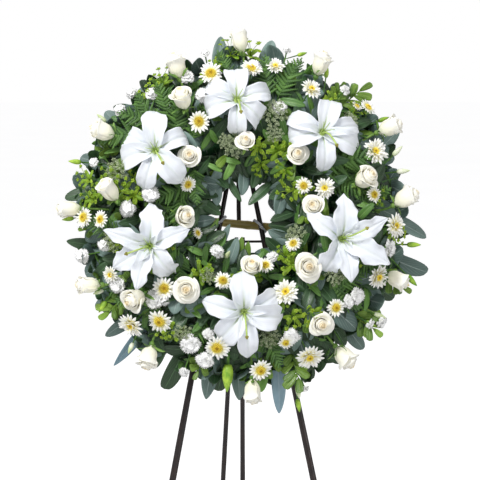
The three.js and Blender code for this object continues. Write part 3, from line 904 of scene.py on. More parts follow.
def disc_floret():
    """One tiny floret of a disc, of unit radius."""
    surface = Surface()
    blob(surface, Vector(), 1.0, 0.5, 1, 3, 5, 1.5)
    return surface.mesh("disc_floret")


def chrysanthemum_head(width, fluffy, seed):
    """A daisy-like head: rings of strap-shaped rays round a disc of tiny florets."""
    rings = [(17, 1.08, 5, 0.5), (16, 0.96, 18, 0.5), (13, 0.78, 32, 0.5)]
    if fluffy:
        rings += [(15, 0.84, 44, 0.4), (13, 0.68, 60, 0.34)]
    ray = bpy.data.objects.new("ray", ray_petal(0.32))
    parts = [grow("rays", point_mesh([]), RING, (), Shape=ray, Count=count,
                  Radius=width * start * 0.28, Rise=HEAD_RISE, Lift=math.radians(lift),
                  Lift_spread=math.radians(13), Least=0.68,
                  Size=width / 2 * reach * (1 - start * 0.5), Seed=seed * 10 + k)
             for k, (count, reach, lift, start) in enumerate(rings)]
    disc = width * (0.16 if fluffy else 0.225)
    floret = bpy.data.objects.new("floret", disc_floret())
    parts.append(grow("florets", point_mesh([]), SPIRAL, (), Shape=floret, Count=FLORETS,
                      Radius=disc, Rise=HEAD_RISE, Dome=disc * 0.55, Size=width * 0.021))
    surface = Surface()
    blob(surface, raised(HEAD_RISE), disc * 0.95, 0.2, 1, 5, 12, 0.5)
    cup = [raised(z * MM) for z in (-4, -2.5, 0, 2.5)]
    tube(surface, cup, [1.4 * MM, width * 0.12, width * 0.17, width * 0.15], 10, 0.4, 2)
    parts.append(surface.mesh("cup"))
    return joined("head", parts)


def carnation_head(width, seed):
    """A mini carnation: rings of frilled petals with toothed edges, upright in the middle."""
    rng = random.Random(seed)
    surface = Surface()
    blob(surface, raised(width * 0.14), width * 0.22, 0.5, 0, 6, 10, 0.8)
    for count, lift, reach in ((7, 0, 0.54), (6, 22, 0.5), (6, 44, 0.45), (4, 66, 0.41)):
        first = rng.uniform(0, TURN)
        for k in range(count):
            out = level(first + k * TURN / count + rng.uniform(-0.2, 0.2))
            rise = math.radians(lift + rng.uniform(-10, 10))
            along = out * math.cos(rise) + raised(math.sin(rise))
            across = Quaternion(along, rng.uniform(-0.4, 0.4)) @ Vector((-out.y, out.x, 0))
            up = along.cross(across)
            phase = rng.uniform(0, TURN)
            fan = width * rng.uniform(0.2, 0.26)
            long = width * reach * rng.uniform(0.8, 1.12)
            grid = []
            for i, t in enumerate((0.15, 0.5, 0.8, 1.0)):
                line = []
                for j in range(FRILL_COLUMNS):
                    a = 2 * j / (FRILL_COLUMNS - 1) - 1
                    tooth = 0.1 * width * (j % 2) * (i == 3)
                    ruffle = math.sin(phase + 5 * a) * width * 0.04 * t * t
                    droop = 0.1 * width * t ** 3 - 0.06 * width * a * a
                    point = along * (long * t * (1 - 0.22 * a * a) - tooth)
                    point += across * a * fan * (0.2 + 0.8 * t) + up * (ruffle - droop)
                    line.append(point + raised(width * 0.1))
                grid.append(line)
            shell(surface, grid, 0.6 * MM, rng.random())
    cup = [raised(z * width) for z in (-0.3, -0.22, -0.02, 0.14)]
    tube(surface, cup, [width * r for r in (0.06, 0.11, 0.13, 0.17)], 10, 0.5, 2)
    return surface


# ---- Greenery --------------------------------------------------------------------------

FERN_LENGTH = 120 * MM
FERN_WIDTH = 74 * MM
FERN_PAIRS = 11
LOBE_LENGTH = 4.6 * MM
TWIG_LENGTH = 56 * MM
TWIG_LEAVES = 9
TWIG_REACH = 76
BRACT_STALKS = 7
UMBEL_WIDTH = 50 * MM
UMBEL_RAYS = 22
UMBEL_BEADS = 13
BUD_LENGTH = 24 * MM
BUD_WIDTH = 10 * MM
BUD_ROWS = 9
BUD_SIDES = 12


def fern_frond(seed):
    """A leatherleaf frond along +Y, facing +Z: paired pinnae with deeply lobed edges."""
    rng = random.Random(seed)
    surface = Surface()
    bend = rng.uniform(-0.12, 0.12)

    def rachis(t):
        return Vector((bend * t * t, t, -0.16 * t * t)) * FERN_LENGTH

    tube(surface, [rachis(i / 10) for i in range(11)],
         [(1.2 - 0.08 * i) * MM for i in range(11)], 5, 0.3)
    for k in range(FERN_PAIRS):
        t = 0.12 + 0.86 * k / FERN_PAIRS
        reach = FERN_WIDTH / 2 * math.sin(math.pi * min(1.0, 0.25 + 0.77 * t)) ** 0.8 + 5 * MM
        for side in (-1, 1):
            angle = math.radians(64 - 26 * t + rng.uniform(-9, 9))
            along = Vector((side * math.sin(angle), math.cos(angle), rng.uniform(-0.3, 0.25)))
            long = reach * rng.uniform(0.82, 1.12)
            pinna(surface, rachis(t), along.normalized(), long, 12.5 * MM, rng.random())
    along = (rachis(1.0) - rachis(0.9)).normalized()
    pinna(surface, rachis(0.97), along, 9 * MM, 7 * MM, 1.0)
    return surface


def pinna(surface, root, along, length, width, tone):
    """One leaflet of a frond: a narrow blade whose edges are cut into forward lobes."""
    lobes = max(2, round(length / LOBE_LENGTH))
    across = along.cross(OUT).normalized()
    grid = []
    for i in range(2 * lobes + 1):
        u = i / (2 * lobes)
        tip = i % 2
        half = width / 2 * (1 - u) ** 0.6 * (1.0 if tip else 0.32) + 0.5 * MM
        ahead = length * (u + (0.3 / lobes if tip else 0))
        droop = raised(-0.12 * length * u * u)
        middle = root + along * length * u + droop
        edge = root + along * ahead + droop + raised(-0.22 * half)
        grid.append([edge - across * half, middle, edge + across * half])
    shell(surface, grid, 0.5 * MM, tone)


def leaflet(surface, root, along, length, width, tone):
    """A tiny closed leaf of eight faces."""
    along = along.normalized()
    across = along.cross(OUT).normalized() * width / 2
    middle = root + along * length * 0.45
    lift = raised(0.35 * MM)
    points = [root, middle + across, root + along * length, middle - across,
              middle + lift, middle - lift]
    faces = [face for k in range(4) for face in ((k, (k + 1) % 4, 4), ((k + 1) % 4, k, 5))]
    uvs = [(0.5, 0), (1, 0.45), (0.5, 1), (0, 0.45), (0.5, 0.45), (0.5, 0.45)]
    surface.add(points, faces, uvs, tone)


def twig(seed):
    """A twig along +Y, facing +Z, with round-tipped leaves set left and right of it."""
    rng = random.Random(seed)
    surface = Surface()
    tip = Vector((rng.uniform(-0.15, 0.15), 1, 0.1)) * TWIG_LENGTH
    path = curve_through(Vector(), Vector((0, TWIG_LENGTH * 0.5, 0)), tip, 8)
    tube(surface, path, [(1.7 - 0.1 * i) * MM for i in range(9)], 5, 0.25)
    for k in range(TWIG_LEAVES):
        last = k == TWIG_LEAVES - 1
        at = path[round((0.2 + 0.8 * k / (TWIG_LEAVES - 1)) * 8)]
        side = 0 if last else (1 if k % 2 else -1)
        swing = Matrix.Rotation(-side * math.radians(rng.uniform(38, 58)), 4, "Z")
        lift = Matrix.Rotation(math.radians(rng.uniform(-5, 30)), 4, "X")
        roll = Matrix.Rotation(rng.uniform(-0.5, 0.5), 4, "Y")
        size = rng.uniform(0.8, 1.1) * MM
        leaf_blade(surface, Matrix.Translation(at) @ swing @ lift @ roll, 28 * size, 13 * size,
                   rng, rng.random(), 0, 8, 5, 0.2, 0.1, 0.25)
    return surface


def bupleurum(seed):
    """A fresh green sprig: forked stalks with cupped bracts round tiny florets, and leaves."""
    rng = random.Random(seed)
    surface = Surface()
    for k in range(BRACT_STALKS):
        angle = math.radians(12 + 34 * (k / BRACT_STALKS) ** 0.5 + rng.uniform(-6, 6))
        along = level(k * GOLDEN) * math.sin(angle) + raised(math.cos(angle))
        tip = along * rng.uniform(34, 50) * MM
        tube(surface, curve_through(Vector(), raised(18 * MM), tip, 4), 0.7 * MM, 4, 0.4)
        for m in range(5):
            bearing = 72 * m + rng.uniform(-9, 9)
            lift = math.radians(rng.uniform(12, 34))
            ray = outward(bearing) * math.cos(lift) + along * math.sin(lift)
            leaflet(surface, tip, ray, rng.uniform(7, 9) * MM, 8 * MM, 0.7 + 0.3 * rng.random())
        for m in range(6):
            bead = tip + outward(60 * m) * 1.9 * MM + along * 1.6 * MM
            blob(surface, bead, 0.9 * MM, 1.0, 1, 3, 5)
    for k in range(5):
        angle = math.radians(rng.uniform(48, 72))
        along = level(k * GOLDEN + 1) * math.sin(angle) + raised(math.cos(angle))
        leaf_blade(surface, lying(along), rng.uniform(26, 38) * MM, rng.uniform(11, 15) * MM,
                   rng, 0.45 + 0.4 * rng.random(), 0, 5, 3, 0.2, 0.25, 0.5)
    return surface


def umbel(seed):
    """A grey-green flower umbel: rays that end in small clusters of beads."""
    rng = random.Random(seed)
    surface = Surface()
    width = UMBEL_WIDTH
    for k in range(UMBEL_RAYS):
        radius = width / 2 * math.sqrt((k + 0.5) / UMBEL_RAYS)
        height = width * 0.62 - radius * radius / width * 0.9 + rng.uniform(-1, 1) * MM
        tip = level(k * GOLDEN) * radius + raised(height)
        tube(surface, [Vector(), tip * 0.6, tip], [0.6 * MM, 0.5 * MM, 0.5 * MM], 4, 0.4)
        for m in range(UMBEL_BEADS):
            spread = width * 0.09 * math.sqrt((m + 0.5) / UMBEL_BEADS)
            lift = width * 0.03 * (1 - m / UMBEL_BEADS) + rng.uniform(-0.4, 0.4) * MM
            bead = tip + level(m * GOLDEN) * spread + raised(lift)
            blob(surface, bead, rng.uniform(1.0, 1.5) * MM, rng.random(), 0, 3, 5)
    return surface


def bud(seed):
    """A closed flower bud on a short stalk, along +Z: pointed, with shallow seams."""
    rng = random.Random(seed)
    surface = Surface()
    points, uvs = [], []
    for i in range(BUD_ROWS):
        t = i / (BUD_ROWS - 1)
        swell = math.sin(math.pi * (0.1 + 0.88 * t) ** 0.75) ** 0.8
        for j in range(BUD_SIDES):
            angle = TURN * j / BUD_SIDES
            seam = 1 - 0.1 * abs(math.cos(1.5 * angle)) * t
            points.append(level(angle) * (BUD_WIDTH / 2 * swell * seam) + raised(BUD_LENGTH * t))
            uvs.append((j / BUD_SIDES, t))
    surface.add(points, closed_rings(BUD_ROWS, BUD_SIDES), uvs, rng.random(), 0)
    upright_tube(surface, (-46, -20, 0, 1.5), (1.1, 1.2, 1.5, 3.0), 6, 0.4, 1)
    return surface


# ---- Finishes ----------------------------------------------------------------------------


def effect(name, inputs, outputs, build):
    """A shader node group with named inputs and outputs, built once."""
    tree = bpy.data.node_groups.new(name, "ShaderNodeTree")
    sockets(tree, "INPUT", **{label: ("Float", value) for label, value in inputs.items()})
    sockets(tree, "OUTPUT", **dict.fromkeys(outputs, "Float"))
    recipe = Recipe(tree)
    entry = recipe.node("NodeGroupInput").outputs
    recipe.node("NodeGroupOutput", dict(zip(outputs, build(recipe, entry))))
    return tree


def along_across(recipe):
    """The place across and along a leaf, petal or tube, and the distance from its midrib."""
    across, along, _ = recipe.parts(recipe.node("ShaderNodeUVMap", uv_map="UVMap").outputs[0])
    away = recipe.math("ABSOLUTE", recipe.minus(recipe.times(across, 2.0), 1.0))
    return across, along, away


def mottle_build(recipe, entry):
    """Soft blotches and fine grain through a material."""
    place = recipe.node("ShaderNodeTexCoord").outputs["Object"]
    broad = recipe.noise(place, entry["Scale"], 3.0, 0.55)
    grain = recipe.noise(place, recipe.times(entry["Scale"], 9.0), 2.0, 0.6)
    return recipe.fade(broad, 0.32, 0.68), grain


def leaf_veins_build(recipe, entry):
    """A midrib with paired side veins, and how high the blade stands between them."""
    _, along, away = along_across(recipe)
    width = recipe.minus(0.13, recipe.times(along, 0.08))
    midrib = recipe.fade(away, 0.0, width, 1.0, 0.0)
    slant = recipe.times(away, entry["Slant"])
    phase = recipe.math("FRACT", recipe.times(recipe.minus(along, slant), entry["Pairs"]))
    veins = recipe.fade(recipe.math("ABSOLUTE", recipe.minus(phase, 0.5)), 0.36, 0.5)
    hollow = recipe.math("MAXIMUM", midrib, recipe.times(veins, 0.5))
    return midrib, veins, recipe.minus(1.0, hollow)


def petal_streaks_build(recipe, entry):
    """Fine lines that run along a petal, and how near its edge and its tip a point is."""
    across, along, away = along_across(recipe)
    shift = recipe.node("ShaderNodeAttribute", attribute_name="tone").outputs["Fac"]
    place = recipe.vector(recipe.times(across, entry["Lines"]), recipe.times(along, 1.6),
                          recipe.times(shift, 40.0))
    return recipe.fade(recipe.noise(place, 1.0, 3.0, 0.65), 0.3, 0.7), along, away


def wear_build(recipe, entry):
    """Rubbed patches and scratches on a painted, moulded or metal surface."""
    place = recipe.node("ShaderNodeTexCoord").outputs["Object"]
    patch = recipe.noise(place, entry["Scale"], 6.0, 0.7)
    drawn = recipe.node("ShaderNodeMapping", {"Vector": place, "Scale": (1.0, 1.0, 0.05)})
    scratch = recipe.noise(drawn.outputs[0], recipe.times(entry["Scale"], 12.0), 2.0, 0.5)
    rubbed = recipe.times(recipe.fade(patch, 0.55, 0.72), entry["Amount"])
    return rubbed, recipe.fade(scratch, 0.35, 0.65), patch


MOTTLE = effect("mottle", {"Scale": 30.0}, ("Blotch", "Grain"), mottle_build)
LEAF_VEINS = effect("leaf_veins", {"Pairs": 8.0, "Slant": 0.45}, ("Midrib", "Veins", "Height"),
                    leaf_veins_build)
STREAKS = effect("petal_streaks", {"Lines": 16.0}, ("Lines", "Along", "Away"),
                 petal_streaks_build)
WEAR = effect("wear", {"Scale": 20.0, "Amount": 1.0}, ("Rubbed", "Scratches", "Patches"),
              wear_build)


class Finish(Recipe):
    """A material with one principled shader, mottled, and streaked where it has lines."""

    def __init__(self, name, blotches, lines=None, **constants):
        self.material = bpy.data.materials.new(name)
        self.material.use_nodes = True
        super().__init__(self.material.node_tree)
        self.tree.nodes.clear()
        self.shader = self.node("ShaderNodeBsdfPrincipled", spaced(constants))
        self.node("ShaderNodeOutputMaterial", {0: self.shader.outputs[0]})
        mottle = self.group(MOTTLE, Scale=blotches)
        self.blotch, self.grain = mottle["Blotch"], mottle["Grain"]
        if lines:
            self.lines, self.along, self.away = self.group(STREAKS, Lines=lines)

    def group(self, tree, **values):
        made = self.node("ShaderNodeGroup", node_tree=tree)
        for key, value in values.items():
            made.inputs[key].default_value = value
        return made.outputs

    def attribute(self, label):
        return self.node("ShaderNodeAttribute", attribute_name=label).outputs["Fac"]

    def shade(self):
        """A value from 0 to 1 that differs from leaf to leaf."""
        return self.math("FRACT", self.plus(self.attribute("tone"), self.attribute("shade")))

    def layers(self, colour, *coats):
        """Colours laid over one another. Each coat is a mask, its share and its colour."""
        for mask, share, coat in coats:
            colour = self.mix(mask if share == 1 else self.times(mask, share), colour, coat)
        return colour

    def done(self, colour, rough, height=None, depth=0.3 * MM, strength=0.5):
        """Plugs in the colour, the roughness, or its two ends over the grain, and a bump."""
        if isinstance(rough, tuple):
            rough = self.fade(self.grain, 0.3, 0.7, *rough)
        self.plug(self.shader.inputs["Base Color"], colour)
        self.plug(self.shader.inputs["Roughness"], rough)
        if height is not None:
            bump = self.node("ShaderNodeBump", {"Height": height, "Distance": depth,
                                                "Strength": strength})
            self.plug(self.shader.inputs["Normal"], bump.outputs[0])
        return self.material


def leaf_finish(name, dark, light, vein, gloss=0.42, pairs=8.0):
    """A leaf: two greens mixed from leaf to leaf, pale veins, blotches and a satin skin."""
    recipe = Finish(name, 45.0, Specular_IOR_Level=0.45)
    midrib, veins, height = recipe.group(LEAF_VEINS, Pairs=pairs)
    colour = recipe.layers(recipe.mix(recipe.shade(), dark, light), (recipe.blotch, 0.35, dark),
                           (veins, 0.22, vein), (midrib, 0.6, vein))
    return recipe.done(colour, (gloss - 0.08, gloss + 0.12), height, 0.5 * MM, 0.55)


def stalk_finish(name, pale, deep):
    """A fresh green stalk, calyx or filament."""
    recipe = Finish(name, 70.0, 9.0, Specular_IOR_Level=0.4)
    colour = recipe.layers(pale, (recipe.blotch, 1, deep), (recipe.lines, 0.3, deep))
    return recipe.done(colour, (0.4, 0.6), recipe.lines, 0.2 * MM, 0.4)


def petal_recipe(name, blotches, lines, glow, depth, shine, sheen):
    """A petal that lets a little light through, with a faint sheen on its skin."""
    return Finish(name, blotches, lines, Subsurface_Weight=glow, Subsurface_Scale=depth,
                  Subsurface_Radius=(1.0, 1.0, 0.9), Specular_IOR_Level=shine,
                  Sheen_Weight=sheen)


def lily_petal_finish():
    """White petals: faint blue-grey lines, a green rib that is also painted shade in its groove,
    and a green throat.
    """
    recipe = petal_recipe("lily_petal_white", 25.0, 34.0, 0.25, 0.004, 0.3, 0.08)
    along, away = recipe.along, recipe.away
    # The rib: the petal's green midrib. Its grey-green is also painted shade in the groove it runs
    # along.
    near_rib = recipe.fade(away, 0.02, 0.2, 1.0, 0.0)
    rib = recipe.times(near_rib, recipe.fade(along, 0.2, 0.95, 1.0, 0.15))
    near_base = recipe.fade(along, 0.1, 0.42, 1.0, 0.0)
    throat = recipe.times(near_base, recipe.fade(away, 0.03, 0.2, 1.0, 0.0))
    colour = recipe.layers("F1F4FA", (recipe.blotch, 0.5, "E3E9F2"),
                           (recipe.lines, 0.35, "D5DDE8"), (rib, 0.35, "C3D0B4"),
                           (throat, 0.85, "A8C060"),
                           (recipe.fade(along, 0.02, 0.13, 0.9, 0.0), 1, "93AE4C"))
    return recipe.done(colour, (0.42, 0.58), recipe.lines, 0.35 * MM, 0.35)


def rose_petal_finish():
    """Cream petals: a warm heart, paler outside, faint veins and a green flush at the base; lower
    down each petal is warmer and darker, partly its tint and partly painted shade, and its lip has
    a painted highlight.
    """
    recipe = petal_recipe("rose_petal_cream", 35.0, 22.0, 0.15, 0.002, 0.25, 0.15)
    layer, along = recipe.attribute("tone"), recipe.along
    outer = recipe.fade(layer, 0.4, 0.85)
    colour = recipe.layers(
        "FDF3D4", (recipe.fade(layer, 0.25, 0.8), 1, "FEFDF3"), (recipe.lines, 0.18, "F2ECD8"),
        # Warmer and darker towards each petal's base: partly the petals' warm tint, partly painted
        # shade down in the slits between them.
        (recipe.fade(along, 0.45, 0.94, 0.5, 0.0), 1, recipe.mix(outer, "F0CE84", "F4EBCA")),
        # Painted highlight: the curled lip at each petal's tip is paler, as if it caught the
        # light.
        (recipe.fade(along, 0.86, 1.0), 0.6, "FDFBF2"),
        (recipe.fade(layer, 0.25, 0.6, 0.6, 0.0), 1, "F8D88E"),
        (recipe.fade(along, 0.05, 0.7, 0.7, 0.0), 1, recipe.mix(outer, "F4D48C", "EEF1D2")),
        (recipe.blotch, 0.15, "F4EFDE"))
    return recipe.done(colour, (0.48, 0.64), recipe.lines, 0.3 * MM, 0.3)


def ray_finish(name, white, root):
    """A chrysanthemum ray or carnation petal, tinted towards its root."""
    recipe = petal_recipe(name, 60.0, 6.0, 0.1, 0.001, 0.25, 0.1)
    base = recipe.fade(recipe.along, 0.05, 0.55, 1.0, 0.0)
    colour = recipe.layers(white, (base, 1, root), (recipe.lines, 0.2, "EEF0EC"),
                           (recipe.blotch, 0.15, "EFF0E6"))
    return recipe.done(colour, (0.5, 0.66), recipe.lines, 0.25 * MM, 0.4)


def disc_finish():
    """Yellow florets, closed and darker in the middle of the disc."""
    recipe = Finish("chrysanthemum_disc_yellow", 120.0, Specular_IOR_Level=0.3)
    place = recipe.attribute("shade")
    colour = recipe.layers(
        "A8861E", (recipe.fade(place, 0.02, 0.14), 1, "FFE24A"),
        (recipe.fade(place, 0.12, 0.5), 1, "FFF066"), (recipe.fade(place, 0.55, 1.0), 1, "FFF8A8"),
        (recipe.blotch, 0.2, "FBE050"))
    return recipe.done(colour, (0.5, 0.75), recipe.grain, 0.2 * MM, 0.4)


def bead_finish(name, dark, light):
    """Tiny matt florets, from dark to light."""
    recipe = Finish(name, 90.0, Specular_IOR_Level=0.3)
    colour = recipe.layers(dark, (recipe.shade(), 1, light), (recipe.blotch, 0.3, dark))
    return recipe.done(colour, (0.55, 0.8), recipe.grain, 0.3 * MM, 0.4)


def painted_finish(name, base, worn, gloss, amount, bump):
    """Painted wood, moulded plastic or drawn wire, with rubbed places and fine scratches."""
    recipe = Finish(name, 40.0, Specular_IOR_Level=0.5)
    rubbed, scratches, _ = recipe.group(WEAR, Scale=22.0, Amount=amount)
    colour = recipe.layers(base, (recipe.blotch, 0.4, worn), (rubbed, 0.6, worn))
    rough = recipe.fade(scratches, 0.0, 1.0, gloss - 0.07, gloss + 0.13)
    return recipe.done(colour, rough, scratches, 0.25 * MM, bump)


def cane_finish():
    """Olive-brown cane with darker fibres, rubbed places and a waxy shine."""
    recipe = Finish("cane_olive", 18.0, 40.0, Specular_IOR_Level=0.5, Coat_Weight=0.3,
                    Coat_Roughness=0.25)
    rubbed, _, _ = recipe.group(WEAR, Scale=30.0, Amount=0.6)
    colour = recipe.layers("BCA552", (recipe.blotch, 1, "DCC984"), (recipe.lines, 0.45, "927C3A"),
                           (rubbed, 0.5, "DCCB8A"))
    return recipe.done(colour, (0.28, 0.45), recipe.lines, 0.3 * MM, 0.4)


def foam_finish():
    """Wet green floral foam: matt, with open pores, painted dark inside as shade."""
    recipe = Finish("floral_foam_green", 60.0, Specular_IOR_Level=0.15)
    place = recipe.node("ShaderNodeTexCoord").outputs["Object"]
    cells = recipe.node("ShaderNodeTexVoronoi", {"Vector": place, "Scale": 900.0}).outputs[0]
    pore_depth_and_shade = recipe.fade(cells, 0.1, 0.5)
    # Painted shade: the pores are coloured darker, where shade would fall inside them; the same
    # mask is the bump's depth.
    colour = recipe.mix(pore_depth_and_shade, "1D3B25", recipe.mix(recipe.blotch, "2F5A3A", "3E6E46"))
    return recipe.done(colour, (0.85, 1.0), pore_depth_and_shade, 0.6 * MM, 0.8)


LILY_PETAL = lily_petal_finish()
ROSE_PETAL = rose_petal_finish()
RAY = ray_finish("chrysanthemum_ray_white", "FFFFFB", "FBF08C")
CARNATION_PETAL = ray_finish("carnation_petal_white", "FFFFFF", "F6F8DC")
DISC = disc_finish()
ORGAN = stalk_finish("lily_filament_green", "C6D884", "9AB84E")
STIGMA = stalk_finish("lily_stigma_olive", "A8A24A", "7E7A30")
STALK = stalk_finish("flower_stalk_green", "6E9A44", "3F6A2A")
CALYX = stalk_finish("calyx_green", "86A94E", "4C7532")
BUD_GREEN = stalk_finish("closed_bud_green", "B4D04A", "6F9E2C")
BUD_WHITE = stalk_finish("opening_bud_white", "F2F4E4", "C6D69A")
DEEP_LEAF = leaf_finish("leaf_deep_green", "20331F", "42633E", "638A5C", 0.38)
MID_LEAF = leaf_finish("leaf_mid_green", "3A632E", "709F46", "9ABC6A", 0.36)
GREY_LEAF = leaf_finish("leaf_grey_green", "4F655F", "839B94", "AEBEB8", 0.5)
BLUE_LEAF = leaf_finish("leaf_blue_grey", "6F8E9A", "9AB4C2", "B4C6CE", 0.5)
LIGHT_LEAF = leaf_finish("leaf_light_green", "50722A", "83A53C", "A2C068", 0.36)
FERN_LEAF = leaf_finish("fern_green", "33552A", "64903F", "8AB05C", 0.42, 4.0)
FRESH_LEAF = leaf_finish("bract_yellow_green", "76A022", "AACA3A", "C2DA62", 0.4, 5.0)
FRESH_BEAD = bead_finish("tiny_floret_yellow", "93A428", "BFCB42")
UMBEL_BEAD = bead_finish("umbel_floret_grey_green", "76865A", "C8D2B0")
POLE_BLACK = painted_finish("pole_satin_black", "171012", "3B2A23", 0.34, 0.8, 0.3)
CANE = cane_finish()
WIRE = painted_finish("tie_wire_grey", "E4E6EC", "FAFBFD", 0.35, 0.6, 0.3)
DARK_WIRE = painted_finish("binding_wire_dark", "1B1A18", "3A3631", 0.4, 0.7, 0.4)
TRAY = painted_finish("tray_dark_green", "16301F", "2A4A33", 0.42, 0.5, 0.3)
FOAM = foam_finish()


# ---- Placing the flowers -----------------------------------------------------------------

DAISY_HEIGHT = 84
CARNATION_HEIGHT = 74
SPRAY_STEM = 1.5 * MM
FLUFFY_HEADS = {(64, 285), (94, 295), (156, 300), (153, 168), (227, 305), (12, 300), (247, 285),
                (115, 285), (28, 280), (71, 165)}


def stems(spots):
    """A stem from the foam to each head."""
    surface = Surface()
    for matrix, _, _ in spots:
        top = matrix.to_translation()
        aim = (matrix.to_3x3() @ OUT).normalized()
        path = curve_through(root_of(top), top - aim * 34 * MM, top - aim * 1 * MM, 8)
        tube(surface, path, SPRAY_STEM, 6, 0.4)
    return surface.mesh("stems", [STALK])


def spray(name, heads, height, shapes, pick, materials, seed):
    """The heads of a spray on the dome of the wreath, leaning outwards, with their stems."""
    rng = random.Random(seed)
    spots = []
    for bearing, reach, width in heads:
        tilt = 62 * dome_slope(reach) + rng.uniform(-12, 12)
        aim = facing(tilt, bearing + rng.uniform(-10, 10))
        matrix = pose(spot(bearing, reach, dome_depth(reach, height)), aim, rng.uniform(0, 360),
                      width * MM / HEAD_WIDTH)
        spots.append((matrix, pick(bearing, reach, rng), rng.random()))
    flowers = set_out(name, spots, shapes, *materials)
    return piece(name, joined(name, [flowers, stems(spots)]), WREATH)


def pick_daisy(bearing, reach, rng):
    return (3 if (bearing, reach) in FLUFFY_HEADS else 0) + rng.randrange(3)


def pick_carnation(_bearing, _reach, rng):
    return rng.randrange(3)


DAISIES = shape_box("daisy", [chrysanthemum_head(HEAD_WIDTH, k > 2, k + 1) for k in range(6)])
MINI_CARNATIONS = shape_box(
    "mini_carnation", [carnation_head(HEAD_WIDTH, k + 20).mesh("head") for k in range(3)])

blooms = []
for k, spec in enumerate(LILIES):
    thing = lily(f"lily_bloom_{k + 1:02d}", spec, 40 + k, [LILY_PETAL, ORGAN, STIGMA, STALK])
    blooms.append((thing, "lily_petal", [f"lily_{k + 1:02d}"]))
for k, spec in enumerate(ROSES):
    thing = rose(f"rose_bloom_{k + 1:02d}", spec, 60 + k, [ROSE_PETAL, CALYX])
    blooms.append((thing, "rose_petal", [f"rose_{k + 1:02d}"]))
for k, heads in enumerate(CHRYSANTHEMUMS):
    thing = spray(f"chrysanthemum_heads_{k + 1:02d}", heads, DAISY_HEIGHT, DAISIES, pick_daisy,
                  (RAY, DISC, CALYX), 90 + k)
    blooms.append((thing, "chrysanthemum_petal", [f"chrysanthemum_spray_{k + 1:02d}"]))
for k, heads in enumerate(CARNATIONS):
    thing = spray(f"carnation_heads_{k + 1:02d}", heads, CARNATION_HEIGHT, MINI_CARNATIONS,
                  pick_carnation, (CARNATION_PETAL, CALYX, CALYX), 100 + k)
    blooms.append((thing, "carnation_petal", [f"carnation_spray_{k + 1:02d}"]))


# ---- Placing the greenery ------------------------------------------------------------------

# The bed that leaves grow from: [reach, depth] from the rim over the foam to the hole.
DEEP_BED = [(262, -32), (288, -14), (286, 12), (262, 30), (228, 40), (190, 44), (152, 36),
            (120, 22), (106, 4), (104, -20)]
UPPER_BED = [(278, -16), (294, 6), (276, 32), (240, 50), (190, 58), (150, 50), (120, 34),
             (108, 14)]

# Long leaves round the rim: bearing, reach and depth of the tip, bearing of the root, width,
# finish, and how blunt the tip is.
RIM_LEAVES = [
    (353, 370, 10, 350, 30, GREY_LEAF, 0.6), (10, 362, 20, 8, 36, GREY_LEAF, 0.6),
    (40, 350, 0, 36, 26, GREY_LEAF, 0.5), (62, 365, 20, 66, 28, GREY_LEAF, 0.5),
    (95, 375, 24, 88, 34, GREY_LEAF, 0.55), (109, 390, 0, 103, 38, GREY_LEAF, 0.4),
    (126, 350, 10, 124, 30, LIGHT_LEAF, 0.35), (138, 360, 10, 136, 32, GREY_LEAF, 0.5),
    (157, 352, 20, 158, 36, DEEP_LEAF, 0.25), (169, 400, 14, 166, 30, BLUE_LEAF, 0.7),
    (181, 365, 10, 184, 40, GREY_LEAF, 0.75), (193, 372, 0, 192, 36, GREY_LEAF, 0.8),
    (204, 376, 10, 205, 38, DEEP_LEAF, 0.35), (221, 395, -10, 223, 24, BLUE_LEAF, 0.8),
    (230, 362, 10, 228, 32, GREY_LEAF, 0.6), (263, 355, 10, 257, 28, DEEP_LEAF, 0.7),
    (277, 358, 10, 284, 30, DEEP_LEAF, 0.5), (308, 348, 10, 305, 32, GREY_LEAF, 0.5),
    (325, 345, 0, 322, 28, DEEP_LEAF, 0.4), (50, 345, 0, 52, 26, MID_LEAF, 0.3),
    (147, 355, 0, 148, 30, DEEP_LEAF, 0.4), (175, 350, 20, 172, 32, MID_LEAF, 0.4),
    (188, 350, 10, 188, 34, DEEP_LEAF, 0.4), (212, 350, 0, 214, 28, DEEP_LEAF, 0.5),
    (240, 345, 0, 238, 28, GREY_LEAF, 0.6), (292, 345, 10, 290, 30, GREY_LEAF, 0.4),
    (85, 350, 10, 80, 26, BLUE_LEAF, 0.4), (118, 350, 0, 118, 30, DEEP_LEAF, 0.4),
]

# Leaves that reach into the hole: bearing and reach of the tip, then of the root, width,
# and finish.
HOLE_LEAVES = [
    (322, 76, 308, 122, 32, GREY_LEAF), (298, 54, 324, 100, 26, GREY_LEAF),
    (346, 31, 339, 92, 15, DEEP_LEAF), (4, 44, 1, 100, 26, GREY_LEAF),
    (27, 27, 40, 92, 24, DEEP_LEAF), (86, 64, 54, 104, 30, GREY_LEAF),
    (278, 46, 292, 100, 22, DEEP_LEAF), (268, 57, 264, 112, 24, GREY_LEAF),
    (264, 46, 240, 92, 10, LIGHT_LEAF), (250, 35, 216, 82, 15, GREY_LEAF),
    (183, 40, 186, 82, 14, LIGHT_LEAF), (170, 50, 176, 88, 14, LIGHT_LEAF),
    (238, 46, 236, 104, 28, DEEP_LEAF), (222, 50, 224, 106, 26, MID_LEAF),
    (206, 46, 210, 104, 26, DEEP_LEAF), (193, 44, 198, 104, 24, GREY_LEAF),
    (104, 52, 102, 108, 28, DEEP_LEAF), (120, 56, 116, 108, 26, GREY_LEAF),
    (92, 52, 84, 110, 22, DEEP_LEAF), (136, 60, 132, 110, 24, DEEP_LEAF),
    (152, 72, 150, 112, 22, MID_LEAF), (58, 64, 56, 112, 26, DEEP_LEAF),
    (252, 52, 254, 108, 24, DEEP_LEAF), (334, 66, 326, 112, 24, DEEP_LEAF),
    (16, 62, 18, 108, 24, DEEP_LEAF), (310, 66, 298, 114, 26, DEEP_LEAF),
]

